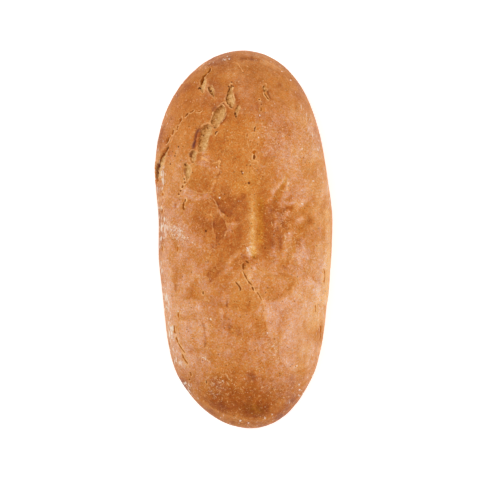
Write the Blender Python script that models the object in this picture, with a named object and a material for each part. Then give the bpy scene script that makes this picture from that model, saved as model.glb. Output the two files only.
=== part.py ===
"""Wheat-rye hearth loaf: one baked solid, long axis on Y, resting on a flat base at z = 0."""

import math

import bmesh
import bpy
from mathutils import Matrix, Vector

MM = 0.001

# All sizes below are millimetres; meshes are made in metres.
# The plan, seen from above. The head is the fuller end, at +Y, and the tail is at -Y.
HALF_LENGTH = 150.8
WIDEST_AT = 22.0
HALF_WIDTH = 69.4
HEAD_FULLNESS = 2.63
TAIL_FULLNESS = 3.17
# Places along the loaf where it draws in (minus) or fills out, with their spread.
WAIST = {"at": -52.0, "spread": 31.0, "by": -1.9}
TAIL_CORNERS = {"at": -106.0, "spread": 14.0, "by": 1.0}
# The middle line isn't straight: it shifts sideways by these amounts.
MIDDLE_LINE = 1.4
HEAD_LEAN = {"at": 91.0, "spread": 64.0, "by": -4.8}
BELLY_LEAN = {"at": 18.0, "spread": 20.0, "by": 1.4}
TAIL_SWING = {"from": -100.0, "over": 50.0, "by": 4.0}

# The section: a domed crown above the rim, which is the widest level, and a fuller underside
# that would reach below the floor and is cut flat by it.
RIM_HEIGHT = 30.0
CROWN_RISE = 54.0
UNDERSIDE_DROP = 42.0
CROWN_ROUNDNESS = 2.15
UNDERSIDE_ROUNDNESS = 3.0
CROWN_SHOULDER = 0.2      # added to the plan's fullness, so the crown holds its height longer
GATHER = 0.24             # radians by which mesh lines move up from the underside to the crown

# Broad hollows and swellings of the crust: x, y, spread, rise.
SWELLINGS = (
    (31.0, 34.0, 15.0, -1.6),
    (44.0, 20.0, 10.0, 1.1),
    (22.0, 14.0, 13.0, -1.2),
    (-14.0, 24.0, 16.0, -1.0),
    (-38.0, 12.0, 18.0, 0.9),
    (-22.0, 46.0, 12.0, 0.8),
    (40.0, -46.0, 24.0, 0.9),
    (-46.0, -70.0, 18.0, 0.8),
    (6.0, -124.0, 20.0, -0.9),
    (-30.0, 108.0, 14.0, 0.8),
    (24.0, 96.0, 22.0, 0.6),
)
RIPPLE = 0.3              # height of the slow, crossing waves in the crust
RIPPLE_LENGTH = 34.0

RINGS = 60
RING_POINTS = 66

# The pinched ridge in the middle of the crown: x, y and half width along it.
RIDGE = (
    (7.0, 39.5, 1.5), (7.2, 30.0, 3.4), (7.6, 20.0, 3.9), (8.2, 8.0, 4.1),
    (8.8, -4.0, 4.1), (9.4, -12.0, 3.2), (9.9, -17.0, 1.4),
)
RIDGE_SUNK = 0.55         # share of the half width that lies below the crust

# Burst tears and cracks. Each is a route of x, y and half width, and how far its pocket's
# middle lies below the crust, as a share of the half width.
TEARS = {
    "head_left": (0.35, (
        (-25.3, 133.0, 1.0), (-29.1, 127.1, 1.7), (-32.2, 123.9, 1.9), (-32.8, 119.7, 2.2),
        (-32.3, 114.7, 1.1))),
    "head_pit": (0.3, ((-26.5, 117.7, 1.1), (-24.5, 114.3, 1.6), (-22.9, 109.4, 0.8))),
    "middle": (0.3, (
        (-9.5, 122.1, 0.8), (-9.4, 116.4, 1.5), (-9.4, 111.6, 2.7), (-9.4, 106.0, 3.6),
        (-8.6, 101.0, 1.6))),
    "middle_side": (0.3, (
        (-4.0, 102.8, 0.7), (-5.9, 98.8, 1.3), (-5.5, 94.1, 1.3), (-7.0, 90.2, 0.7))),
    "upper": (0.3, (
        (-14.9, 103.4, 1.4), (-17.6, 99.5, 3.2), (-19.7, 95.0, 3.7), (-21.4, 90.4, 3.4),
        (-21.8, 85.2, 1.1))),
    "great": (0.3, (
        (-26.8, 88.9, 1.9), (-28.7, 84.3, 4.0), (-30.8, 78.1, 4.6), (-32.4, 72.8, 4.1),
        (-33.9, 68.2, 2.0))),
    "below_great": (0.3, ((-36.8, 65.4, 1.4), (-38.1, 61.9, 2.3), (-39.1, 57.5, 0.9))),
    "low_left": (0.3, (
        (-45.6, 58.5, 1.1), (-44.8, 53.1, 2.1), (-44.3, 48.5, 1.8), (-45.8, 43.1, 1.0),
        (-48.6, 37.4, 0.8))),
    "slit_left": (0.2, ((-44.4, 30.8, 0.7), (-46.0, 27.8, 0.9), (-46.0, 23.2, 0.7))),
    "arc_upper": (0.2, (
        (-31.0, 99.3, 0.7), (-34.8, 97.9, 0.9), (-39.6, 98.9, 1.0), (-43.4, 95.9, 1.0),
        (-45.8, 92.6, 0.8))),
    "arc_middle": (0.2, (
        (-47.5, 94.0, 0.8), (-49.4, 91.4, 1.0), (-50.8, 88.3, 0.9), (-51.8, 84.0, 0.7))),
    "arc_side": (0.45, (
        (-57.6, 79.2, 0.9), (-59.0, 75.5, 1.2), (-61.4, 70.4, 1.7), (-63.6, 66.6, 2.2),
        (-65.6, 62.4, 2.8), (-67.0, 57.6, 3.2), (-67.7, 52.0, 2.8), (-67.4, 45.9, 1.2))),
    "right_upper": (0.2, (
        (16.4, 119.1, 0.8), (16.4, 113.4, 1.1), (19.1, 108.3, 0.9), (21.2, 105.9, 0.7))),
    "right_middle": (0.1, ((13.7, 104.5, 0.7), (13.6, 99.0, 0.8), (12.9, 95.8, 0.7))),
    "below_middle": (0.2, ((8.6, 68.2, 0.7), (7.9, 64.0, 1.0), (8.6, 60.0, 0.7))),
    "ridge_foot": (0.15, (
        (1.2, -17.6, 0.9), (0.8, -21.6, 1.4), (0.6, -24.8, 1.0), (2.2, -27.8, 0.8),
        (4.4, -31.4, 0.8), (6.9, -36.2, 0.8), (10.4, -41.4, 0.7), (13.6, -45.6, 0.7))),
    "ridge_foot_left": (0.1, ((-5.4, -32.8, 0.7), (-3.9, -35.1, 0.8), (-2.4, -37.8, 0.7))),
    "tail_left": (0.15, (
        (-53.7, -67.7, 0.8), (-53.3, -73.2, 0.9), (-51.8, -79.4, 0.9), (-49.4, -85.6, 0.9),
        (-46.2, -91.7, 0.8), (-43.4, -96.4, 0.7))),
    "right_edge": (0.3, (
        (60.4, -65.0, 1.0), (61.0, -69.6, 1.6), (61.2, -73.8, 1.5), (60.6, -78.0, 0.9))),
}
ROUTE_STEP = 3.0          # distance between the points of a smoothed route
SMOOTH_ANGLE = 42.0       # edges sharper than this stay sharp: the base's rim and the tears' lips

CRUST_COLOUR = (0.56, 0.24, 0.085, 1.0)
CRUST_ROUGHNESS = 0.62


def bell(value, centre, spread):
    return math.exp(-(((value - centre) / spread) ** 2))


def bump(y, form):
    return form["by"] * bell(y, form["at"], form["spread"])


def taper(y, extra=0.0):
    """1 at the widest place, falling to 0 at each end in a rounded curve."""
    if y > WIDEST_AT:
        share, fullness = (y - WIDEST_AT) / (HALF_LENGTH - WIDEST_AT), HEAD_FULLNESS
    else:
        share, fullness = (WIDEST_AT - y) / (HALF_LENGTH + WIDEST_AT), TAIL_FULLNESS
    return math.sqrt(max(0.0, 1.0 - min(share, 1.0) ** (fullness + extra)))


def half_width(y):
    return (HALF_WIDTH + bump(y, WAIST) + bump(y, TAIL_CORNERS)) * taper(y)


def middle(y):
    swing = max(0.0, (TAIL_SWING["from"] - y) / TAIL_SWING["over"]) ** 2 * TAIL_SWING["by"]
    return MIDDLE_LINE + bump(y, HEAD_LEAN) + bump(y, BELLY_LEAN) + swing


def relief(x, y):
    """Height of the broad swellings, hollows and slow waves at a place on the crown."""
    rise = sum(up * bell(x, cx, spread) * bell(y, cy, spread) for cx, cy, spread, up in SWELLINGS)
    turn = 2 * math.pi / RIPPLE_LENGTH
    waves = math.sin(turn * (x + 0.6 * y)) * math.sin(turn * (0.8 * y - 0.5 * x) + 1.0)
    return rise + RIPPLE * waves


def crust_point(y, angle):
    """Point of the form at a station y; angle 0 is the +X rim and a quarter turn is the crown."""
    across, up = math.cos(angle), math.sin(angle)
    roundness = CROWN_ROUNDNESS if up >= 0 else UNDERSIDE_ROUNDNESS
    reach = CROWN_RISE if up >= 0 else UNDERSIDE_DROP
    side = half_width(y) * math.copysign(abs(across) ** (2 / roundness), across)
    height = reach * taper(y, CROWN_SHOULDER) * math.copysign(abs(up) ** (2 / roundness), up)
    x, z = middle(y) + side, RIM_HEIGHT + height
    if up > 0:
        lift = relief(x, y) * min(1.0, 2.0 * up) * taper(y) / math.hypot(side, height)
        x, z = x + side * lift, z + height * lift
    return Vector((x, y, z))


def crown_height(x, y):
    """Height of the crown straight above a place inside the outline."""
    share = min(abs(x - middle(y)) / half_width(y), 1.0)
    dome = CROWN_RISE * taper(y, CROWN_SHOULDER) * (1 - share**CROWN_ROUNDNESS) ** (1 / CROWN_ROUNDNESS)
    return RIM_HEIGHT + dome + relief(x, y) * taper(y)


def smooth_route(marks):
    """Points every few millimetres on a smooth curve through the marks of x, y and half width."""
    marks = [Vector(mark) for mark in marks]
    ends = [2 * marks[0] - marks[1], *marks, 2 * marks[-1] - marks[-2]]
    route = []
    for before, start, end, after in zip(ends, ends[1:], ends[2:], ends[3:]):
        steps = max(1, round((end - start).to_2d().length / ROUTE_STEP))
        for step in range(steps):
            t = step / steps
            route.append(0.5 * (
                2 * start
                + (end - before) * t
                + (2 * before - 5 * start + 4 * end - after) * t**2
                + (3 * start - before - 3 * end + after) * t**3
            ))
    return [*route, marks[-1]]


def evaluated_mesh(body):
    graph = bpy.context.evaluated_depsgraph_get()
    return bpy.data.meshes.new_from_object(body.evaluated_get(graph))


def tapered_tube(name, marks, sunk, collection):
    """A closed tube of varying thickness that follows the crust along a route."""
    curve = bpy.data.curves.new(name, "CURVE")
    curve.dimensions = "3D"
    curve.bevel_depth = MM
    curve.bevel_resolution = 2
    curve.use_fill_caps = True
    route = smooth_route(marks)
    spline = curve.splines.new("POLY")
    spline.points.add(len(route) - 1)
    for point, (x, y, thickness) in zip(spline.points, route):
        z = crown_height(x, y) - sunk * thickness
        point.co = (x * MM, y * MM, z * MM, 1.0)
        point.radius = thickness
    guide = bpy.data.objects.new(name + "_guide", curve)
    collection.objects.link(guide)
    mesh = evaluated_mesh(guide)
    bpy.data.objects.remove(guide)
    shape = bmesh.new()
    shape.from_mesh(mesh)
    bmesh.ops.remove_doubles(shape, verts=shape.verts, dist=1e-6)
    bmesh.ops.recalc_face_normals(shape, faces=shape.faces)
    shape.to_mesh(mesh)
    shape.free()
    tube = bpy.data.objects.new(name, mesh)
    collection.objects.link(tube)
    tube.display_type = "WIRE"
    tube.hide_render = True
    return tube


def new_collection(name):
    collection = bpy.data.collections.new(name)
    bpy.context.scene.collection.children.link(collection)
    return collection


def crust_material():
    material = bpy.data.materials.new("baked_crust")
    material.use_nodes = True
    shader = material.node_tree.nodes["Principled BSDF"]
    shader.inputs["Base Color"].default_value = CRUST_COLOUR
    shader.inputs["Roughness"].default_value = CRUST_ROUGHNESS
    shader.inputs["Metallic"].default_value = 0.0
    material.diffuse_color = CRUST_COLOUR
    return material


def loaf_body(collection):
    """A sphere with its poles at the two ends, drawn out to the loaf's form and cut flat below."""
    shape = bmesh.new()
    upright = Matrix.Rotation(math.radians(-90), 4, "X")
    bmesh.ops.create_uvsphere(
        shape, u_segments=RING_POINTS, v_segments=RINGS, radius=1.0, matrix=upright)
    for vertex in shape.verts:
        y = HALF_LENGTH * vertex.co.y
        if math.hypot(vertex.co.x, vertex.co.z) < 1e-6:
            vertex.co = Vector((middle(y), y, RIM_HEIGHT)) * MM
        else:
            angle = math.atan2(vertex.co.z, vertex.co.x)
            vertex.co = crust_point(y, angle + GATHER * math.cos(angle)) * MM
    cut = bmesh.ops.bisect_plane(
        shape, geom=[*shape.verts, *shape.edges, *shape.faces],
        plane_co=(0, 0, 0), plane_no=(0, 0, -1), clear_outer=True)
    base_rim = [part for part in cut["geom_cut"] if isinstance(part, bmesh.types.BMEdge)]
    bmesh.ops.contextual_create(shape, geom=base_rim)
    bmesh.ops.recalc_face_normals(shape, faces=shape.faces)
    mesh = bpy.data.meshes.new("loaf")
    shape.to_mesh(mesh)
    shape.free()
    loaf = bpy.data.objects.new("loaf", mesh)
    loaf.data.materials.append(crust_material())
    collection.objects.link(loaf)
    return loaf


def join_ridge(loaf):
    """Makes the pinched ridge one with the crust, and leaves no helper behind."""
    additions = new_collection("loaf_additions")
    ridge = tapered_tube("pinched_ridge", RIDGE, RIDGE_SUNK, additions)
    join = loaf.modifiers.new("ridge", "BOOLEAN")
    join.operation = "UNION"
    join.object = ridge
    joined = evaluated_mesh(loaf)
    loaf.modifiers.clear()
    loaf.data = joined
    bpy.data.objects.remove(ridge)
    bpy.data.collections.remove(additions)


def open_tears(loaf):
    cutters = new_collection("loaf_tears")
    for name, (sunk, marks) in TEARS.items():
        tapered_tube("tear_" + name, marks, sunk, cutters)
    cut = loaf.modifiers.new("tears", "BOOLEAN")
    cut.operation = "DIFFERENCE"
    cut.operand_type = "COLLECTION"
    cut.collection = cutters


def main():
    for old in list(bpy.data.objects):
        bpy.data.objects.remove(old)
    loaf = loaf_body(new_collection("wheat_rye_loaf"))
    join_ridge(loaf)
    open_tears(loaf)
    loaf.data.shade_smooth()
    loaf.data.set_sharp_from_angle(angle=math.radians(SMOOTH_ANGLE))


main()
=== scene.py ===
import math
import bpy
import numpy as np
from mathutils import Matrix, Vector


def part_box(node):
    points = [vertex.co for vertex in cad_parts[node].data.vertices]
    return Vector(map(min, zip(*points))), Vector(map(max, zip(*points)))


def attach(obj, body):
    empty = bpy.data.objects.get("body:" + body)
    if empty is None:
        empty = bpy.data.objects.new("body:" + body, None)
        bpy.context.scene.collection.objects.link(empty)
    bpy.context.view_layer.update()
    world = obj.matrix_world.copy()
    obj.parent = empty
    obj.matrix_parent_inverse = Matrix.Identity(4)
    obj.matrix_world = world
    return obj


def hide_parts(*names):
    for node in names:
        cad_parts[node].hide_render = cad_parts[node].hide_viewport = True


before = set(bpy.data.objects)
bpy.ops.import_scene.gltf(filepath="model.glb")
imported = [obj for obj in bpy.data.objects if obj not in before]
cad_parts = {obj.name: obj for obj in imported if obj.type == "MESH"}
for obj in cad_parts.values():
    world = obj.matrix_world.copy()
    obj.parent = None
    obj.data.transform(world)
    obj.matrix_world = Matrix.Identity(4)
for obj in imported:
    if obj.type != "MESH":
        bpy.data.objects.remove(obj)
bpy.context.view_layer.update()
print("frame loaded")

mm = 0.001  # the loaf is worked out in millimetres, and its meshes are made in metres
tiny = 1e-9  # keeps a division away from zero
lowCorner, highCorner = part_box("loaf")

# the loaf's form, the same as the solid that the crust replaces

loafForm = {
    "halfLength": (highCorner.y - lowCorner.y) / 2 / mm,
    "halfWidth": 69.4,
    "widestAt": 22.0,  # the head is the fuller end, at +Y
    "headFullness": 2.63,
    "tailFullness": 3.17,
    "crownShoulder": 0.2,  # the crown holds its height a little longer than the plan its width
    "rimHeight": 30.0,
    "crownRise": 54.0,
    "undersideDrop": 42.0,  # the floor cuts the underside flat before it gets this far
    "crownRoundness": 2.15,
    "undersideRoundness": 3.0,
    "waist": (-52.0, 31.0, -1.9),  # where along the loaf, spread, how far
    "tailCorners": (-106.0, 14.0, 1.0),
    "middleLine": 1.4,
    "headLean": (91.0, 64.0, -4.8),
    "bellyLean": (18.0, 20.0, 1.4),
    "tailSwing": (-100.0, 50.0, 4.0),
    "baseEdge": 3.0,  # how softly the underside turns into the flat base
    # broad hollows and swellings: x, y, spread, rise
    "swellings": (
        (31.0, 34.0, 15.0, -1.6), (44.0, 20.0, 10.0, 1.1), (22.0, 14.0, 13.0, -1.2),
        (-14.0, 24.0, 16.0, -1.0), (-38.0, 12.0, 18.0, 0.9), (-22.0, 46.0, 12.0, 0.8),
        (40.0, -46.0, 24.0, 0.9), (-46.0, -70.0, 18.0, 0.8), (6.0, -124.0, 20.0, -0.9),
        (-30.0, 108.0, 14.0, 0.8), (24.0, 96.0, 22.0, 0.6),
    ),
    # slow sines over the whole crown: height, wavelength, and the two headings
    "ripple": 0.3,
    "rippleLength": 34.0,
    "rippleHeadings": ((1.0, 0.6), (-0.5, 0.8)),
}


def bell(value, centre, spread):
    # 1 at the centre, falling off as exp(-(distance / spread) squared)
    return np.exp(-(((value - centre) / spread) ** 2))


def rise(value, start, end):
    # 0 before start, 1 after end, and 3t^2 - 2t^3 between them
    t = np.clip((value - start) / (end - start), 0, 1)
    return t * t * (3 - 2 * t)


def bump(y, place):
    # a bell of a given height
    at, spread, by = place
    return by * bell(y, at, spread)


def taper(y, extra=0.0):
    # square root of 1 - share^fullness, where share runs from the widest place to each end
    form = loafForm
    toHead = (y - form["widestAt"]) / (form["halfLength"] - form["widestAt"])
    toTail = (form["widestAt"] - y) / (form["halfLength"] + form["widestAt"])
    share = np.clip(np.maximum(toHead, toTail), 0, 1)
    fullness = np.where(toHead > 0, form["headFullness"], form["tailFullness"]) + extra
    return np.sqrt(1 - share**fullness)


def halfWidth(y):
    # the greatest half width and two bells, times the taper
    form = loafForm
    return (form["halfWidth"] + bump(y, form["waist"]) + bump(y, form["tailCorners"])) * taper(y)


def middleOf(y):
    # the middle line: a constant, two bells and a parabola towards the tail
    form = loafForm
    start, over, by = form["tailSwing"]
    swing = np.clip((start - y) / over, 0, None) ** 2 * by
    return form["middleLine"] + bump(y, form["headLean"]) + bump(y, form["bellyLean"]) + swing


def broadRelief(x, y):
    # bells for the swellings and hollows, and the product of two slow sines
    form = loafForm
    height = sum(by * bell(x, cx, spread) * bell(y, cy, spread) for cx, cy, spread, by in form["swellings"])
    turn = 2 * math.pi / form["rippleLength"]
    first, second = (turn * (across * x + along * y) for across, along in form["rippleHeadings"])
    return height + form["ripple"] * np.sin(first) * np.sin(second + 1.0)


def formPoint(y, angle):
    # the section is half a superellipse above the rim and half a squarer one below it
    form = loafForm
    across, up = np.cos(angle), np.sin(angle)
    above = up >= 0
    power = 2 / np.where(above, form["crownRoundness"], form["undersideRoundness"])
    reach = np.where(above, form["crownRise"], form["undersideDrop"])
    side = halfWidth(y) * np.sign(across) * np.abs(across) ** power
    height = reach * taper(y, form["crownShoulder"]) * np.sign(up) * np.abs(up) ** power
    x, z = middleOf(y) + side, form["rimHeight"] + height
    size = np.hypot(side, height) + tiny
    lift = broadRelief(x, y) * np.clip(2 * up, 0, 1) * taper(y) / size
    x, z = x + side * lift, z + height * lift
    soft = form["baseEdge"]
    z = np.where(z > soft, z, np.where(z < -soft, 0.0, (z + soft) ** 2 / (4 * soft)))
    return np.stack([x, y + 0 * angle, z], axis=-1)


def crownHeight(x, y):
    # the rim's height, a superellipse across the loaf that tapers to both ends, and the broad relief
    form = loafForm
    share = np.clip(np.abs(x - middleOf(y)) / (halfWidth(y) + tiny), 0, 1)
    roundness = form["crownRoundness"]
    dome = form["crownRise"] * taper(y, form["crownShoulder"]) * (1 - share**roundness) ** (1 / roundness)
    return form["rimHeight"] + dome + broadRelief(x, y) * taper(y)


# places read off the photograph

photo = {
    "mmPerPixel": 0.8,  # at the rim's level
    "originPixel": (243.5, 239.5),
    "centrePixel": (250.0, 250.0),
    "eyeAboveRim": 1111.0,
    "tries": 12,  # more than enough for the height under a pixel to settle
    "endGap": 0.1,  # the crown is looked up no nearer to its ends, in millimetres
}
onePixel = np.array([photo["mmPerPixel"], -photo["mmPerPixel"]])  # to the right and down, in millimetres
underEye = (np.array(photo["centrePixel"]) - photo["originPixel"]) * onePixel


def onCrown(pixels):
    # pixels to points on the crown: what stands higher looks larger, so the height is found by repeating
    flat = (np.asarray(pixels, float) - photo["originPixel"]) * onePixel
    found = flat
    limit = loafForm["halfLength"] - photo["endGap"]
    for _ in range(photo["tries"]):
        height = crownHeight(found[:, 0], np.clip(found[:, 1], -limit, limit))
        nearer = 1 - (height - loafForm["rimHeight"]) / photo["eyeAboveRim"]
        found = underEye + (flat - underEye) * nearer[:, None]
    return np.column_stack([found, crownHeight(found[:, 0], np.clip(found[:, 1], -limit, limit))])


# the skin: one closed grid, finer where the crust is torn

skinGrid = {
    "rings": 400,
    "ringPoints": 245,
    "samples": 4001,  # of a ring or of the length, to find even places on it
    # how far apart neighbouring points lie: at these places along the loaf, and round it in degrees
    "alongAt": (-151, -120, -50, -20, 20, 45, 138, 151),
    "alongGap": (1.0, 1.15, 0.95, 0.8, 0.75, 0.64, 0.64, 0.95),
    "roundAt": (0, 20, 70, 90, 160, 182, 200, 225, 315, 340, 360),
    "roundGap": (1.3, 1.2, 1.0, 0.72, 0.66, 0.8, 2.0, 7.0, 7.0, 2.2, 1.3),
}


randomWaves = {
    "count": 24,
    "lengths": (0.75, 1.35),  # shares of the length asked for
}
seeds = {
    # the first seed of each kind of thing; one tear uses several
    "clouds": 1, "blushes": 4, "unevenness": 21, "patchEdges": 61, "tearEdges": 65, "borders": 71,
    "ridge": 81, "tears": 100, "tearStep": 10, "cracks": 300, "crackLips": 350, "foldShades": 500,
    "foldStrengths": 540, "lines": 700,
}


def evenPlaces(values, steps, gaps, count):
    # the running sum of step / gap, cut into equal parts
    total = np.concatenate([[0], np.cumsum(steps / gaps)])
    return np.interp(np.linspace(0, total[-1], count), total, values)


def waves(points, length, seed):
    # a smooth random field: cosines of nearly one wavelength in random directions, with a spread of 1
    draw = np.random.default_rng(seed)
    count = randomWaves["count"]
    heading = draw.normal(size=(count, 3))
    lengths = length * draw.uniform(*randomWaves["lengths"], count)
    heading *= (2 * math.pi / lengths / np.linalg.norm(heading, axis=1))[:, None]
    return np.cos(points @ heading.T + draw.uniform(0, 2 * math.pi, count)).sum(axis=1) * math.sqrt(2 / count)


def layered(points, layers, seed):
    # such fields added up: how much and how long each is; the seeds follow one another
    return sum(amount * waves(points, length, seed + step) for step, (amount, length) in enumerate(layers))


def patchy(points, seed, mean, spread, length, least, most):
    # a share that changes from place to place: its mean, by how much and at which wavelength, and its limits
    return np.clip(mean + spread * waves(points, length, seed), least, most)


def makeSkin():
    # rings of formPoint along the loaf and a pole at each end; normals are cross products of the grid's steps
    grid = skinGrid
    fine = np.radians(np.linspace(-90, 90, grid["samples"]))
    y = loafForm["halfLength"] * np.sin(fine)
    drop = loafForm["crownRise"] * taper(y)
    steps = np.hypot(np.diff(y), np.diff(drop))
    gaps = np.interp((y[1:] + y[:-1]) / 2, grid["alongAt"], grid["alongGap"])
    stations = evenPlaces(y, steps, gaps, grid["rings"] + 2)[1:-1]

    fine = np.radians(np.linspace(0, 360, grid["samples"]))
    section = formPoint(np.full_like(fine, loafForm["widestAt"]), fine)
    steps = np.linalg.norm(np.diff(section, axis=0), axis=1)
    gaps = np.interp(np.degrees((fine[1:] + fine[:-1]) / 2), grid["roundAt"], grid["roundGap"])
    angles = evenPlaces(fine, steps, gaps, grid["ringPoints"] + 1)[:-1]

    net = formPoint(stations[:, None] + 0 * angles[None, :], angles[None, :] + 0 * stations[:, None])
    alongStep = np.gradient(net, axis=0)
    roundStep = (np.roll(net, -1, axis=1) - np.roll(net, 1, axis=1)) / 2
    out = np.cross(roundStep, alongStep)
    out /= np.linalg.norm(out, axis=-1, keepdims=True) + 1e-12
    middle = net - net.mean(axis=1, keepdims=True)
    if (out * middle).sum() < 0:
        out = -out
    half, rim = loafForm["halfLength"], loafForm["rimHeight"]
    poles = np.array([[middleOf(-half), -half, rim], [middleOf(half), half, rim]])
    points = np.vstack([net.reshape(-1, 3), poles])
    normals = np.vstack([out.reshape(-1, 3), [[0, -1, 0], [0, 1, 0]]])
    return points, normals


def skinFaces():
    # quads between neighbouring rings, and triangles from the last rings to the poles
    rings, count = skinGrid["rings"], skinGrid["ringPoints"]
    row, column = np.meshgrid(np.arange(rings - 1), np.arange(count), indexing="ij")
    here, beside = row * count + column, row * count + (column + 1) % count
    quads = np.stack([here, here + count, beside + count, beside], axis=-1).reshape(-1, 4)
    first, second = np.arange(count), (np.arange(count) + 1) % count
    south, north, last = rings * count, rings * count + 1, (rings - 1) * count
    caps = np.vstack([
        np.column_stack([first, second, np.full(count, south)]),
        np.column_stack([last + second, last + first, np.full(count, north)]),
    ])
    return quads, caps


facing = {
    # over which heights of the unit normal the skin counts as crown, and as more than flank
    "crown": (-0.15, 0.15),
    "aboveFlank": (0.45, 0.75),
}
farAway = 4.0  # millimetres; distances beyond it don't matter
points, normals = makeSkin()
lift = np.zeros(len(points))  # movement out of the crust, in millimetres
slide = np.zeros((len(points), 3))  # movement along it
paint = {name: np.zeros(len(points)) for name in (
    "baking", "blush", "gold", "crumbTone", "lip", "hue", "crackLip", "fold", "foldHue", "border", "flour",
    "flank", "calm",
)}
# how far inside each kind of thing a point lies, in millimetres; far outside to begin with
within = {name: np.full(len(points), -farAway) for name in ("tear", "crack", "pit", "speck")}
fromBorder = np.full(len(points), farAway)
onTop = rise(normals[:, 2], *facing["crown"])
print("skin", len(points), "points")


def smoothRoute(marks, step=0.6):
    # a Catmull-Rom curve through the marks
    marks = np.asarray(marks, float)
    marks = np.vstack([2 * marks[0] - marks[1], marks, 2 * marks[-1] - marks[-2]])
    route = []
    for before, start, end, after in zip(marks, marks[1:], marks[2:], marks[3:]):
        count = max(2, int(np.linalg.norm((end - start)[:3]) / step))
        t = (np.arange(count) / count)[:, None]
        route.append(0.5 * (
            2 * start + (end - before) * t
            + (2 * before - 5 * start + 4 * end - after) * t**2
            + (3 * start - before - 3 * end + after) * t**3
        ))
    return np.vstack([*route, marks[-2][None]])


def follow(marks, reach):
    # for the skin points near a route: the share along it, the distance to its right side and the unit
    # vector to the right, which is the photograph's right when the route runs down
    spine = smoothRoute(onCrown(marks))
    near = np.flatnonzero(
        ((points > spine.min(axis=0) - reach) & (points < spine.max(axis=0) + reach)).all(axis=1)
    )
    start, along = spine[:-1], np.diff(spine, axis=0)
    length = np.linalg.norm(along, axis=1)
    offset = points[near, None, :] - start[None]
    t = np.clip((offset * along).sum(axis=2) / length**2, 0, 1)
    offset = offset - t[..., None] * along
    distance = np.linalg.norm(offset, axis=2)
    best = distance.argmin(axis=1)
    rows = np.arange(len(near))
    t, offset, distance = t[rows, best], offset[rows, best], distance[rows, best]
    kept = distance < reach
    near, best, t, offset, distance = near[kept], best[kept], t[kept], offset[kept], distance[kept]
    right = np.cross(normals[near], along[best] / length[best][:, None])
    right /= np.linalg.norm(right, axis=1, keepdims=True) + tiny
    side = np.where((offset * right).sum(axis=1) < 0, -distance, distance)
    travelled = np.concatenate([[0], np.cumsum(length)])
    share = (travelled[best] + t * length[best]) / travelled[-1]
    return near, share, side, right


def tint(near, cover, baking, blush, gold):
    # adds to the three tones, each in proportion to the cover
    for name, amount in (("baking", baking), ("blush", blush), ("gold", gold)):
        paint[name][near] += amount * cover


def keepWhere(nearer, near, name, values):
    # new values where this thing is nearer than the ones before it
    paint[name][near] = np.where(nearer, values, paint[name][near])


def ends(share, soft=0.12):
    # 0 at both ends of a route and 1 between them
    return rise(share, 0, soft) * (1 - rise(share, 1 - soft, 1))


# the skin as the photograph shows it

def seenFromAbove():
    # where each point of the skin falls in the photograph
    scale = 1 / (1 - (points[:, 2] - loafForm["rimHeight"]) / photo["eyeAboveRim"])
    flat = underEye + (points[:, :2] - underEye) * scale[:, None]
    return flat / onePixel + photo["originPixel"]


def unsettled(layers, seed):
    # the places in the photograph, moved about by random waves, so that borders drawn on them are ragged
    across, along = layered(points, layers, seed), layered(points, layers, seed + len(layers))
    return seen + np.column_stack([across, along])


raggedness = {
    # pixels and wavelength in millimetres, of a coarse and a fine wave
    "patches": ((0.6, 7.0), (0.4, 2.6)),
    "tears": ((0.2, 7.0), (0.3, 2.6)),
}
seen = seenFromAbove()
ragged = unsettled(raggedness["patches"], seeds["patchEdges"])
frayed = unsettled(raggedness["tears"], seeds["tearEdges"])


def closeTo(route, reach):
    # the points on the crown that appear in a box around a route, in pixels
    low, high = route.min(axis=0) - reach, route.max(axis=0) + reach
    return np.flatnonzero(((seen > low) & (seen < high)).all(axis=1) & (onTop > 0.5))


def offsetFrom(route, places):
    # the vector from the nearest place on a route, and its length, in pixels
    start, along = route[:-1], np.diff(route, axis=0)
    offset = places[:, None, :] - start[None]
    t = np.clip((offset * along).sum(axis=2) / ((along**2).sum(axis=1) + tiny), 0, 1)
    offset = offset - t[..., None] * along
    distance = np.linalg.norm(offset, axis=2)
    best = distance.argmin(axis=1)
    rows = np.arange(len(places))
    return offset[rows, best], distance[rows, best]


def insideOf(route, places):
    # a place is inside where a line to its right crosses the closed route an odd number of times
    start, along = route[:-1], np.diff(route, axis=0)
    level = places[:, None, 1]
    crossed = (start[:, 1] > level) != ((start + along)[:, 1] > level)
    reach = start[:, 0] + along[:, 0] * (level - start[:, 1]) / np.where(along[:, 1] == 0, tiny, along[:, 1])
    return (crossed & (places[:, None, 0] < reach)).sum(axis=1) % 2 == 1


def alongSkin(near, across):
    # a movement in the photograph as one along the skin, in millimetres
    flat = across * onePixel
    up = -(flat * normals[near, :2]).sum(axis=1) / np.clip(normals[near, 2], 0.5, 1)
    return np.column_stack([flat, up])


# burst tears: their shaded wall and their far edge in pixels, both from the top down

# for each tear: depth, crumb lightness, the strength and width in millimetres of the painted shade beside the
# wall, and its lips
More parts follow.
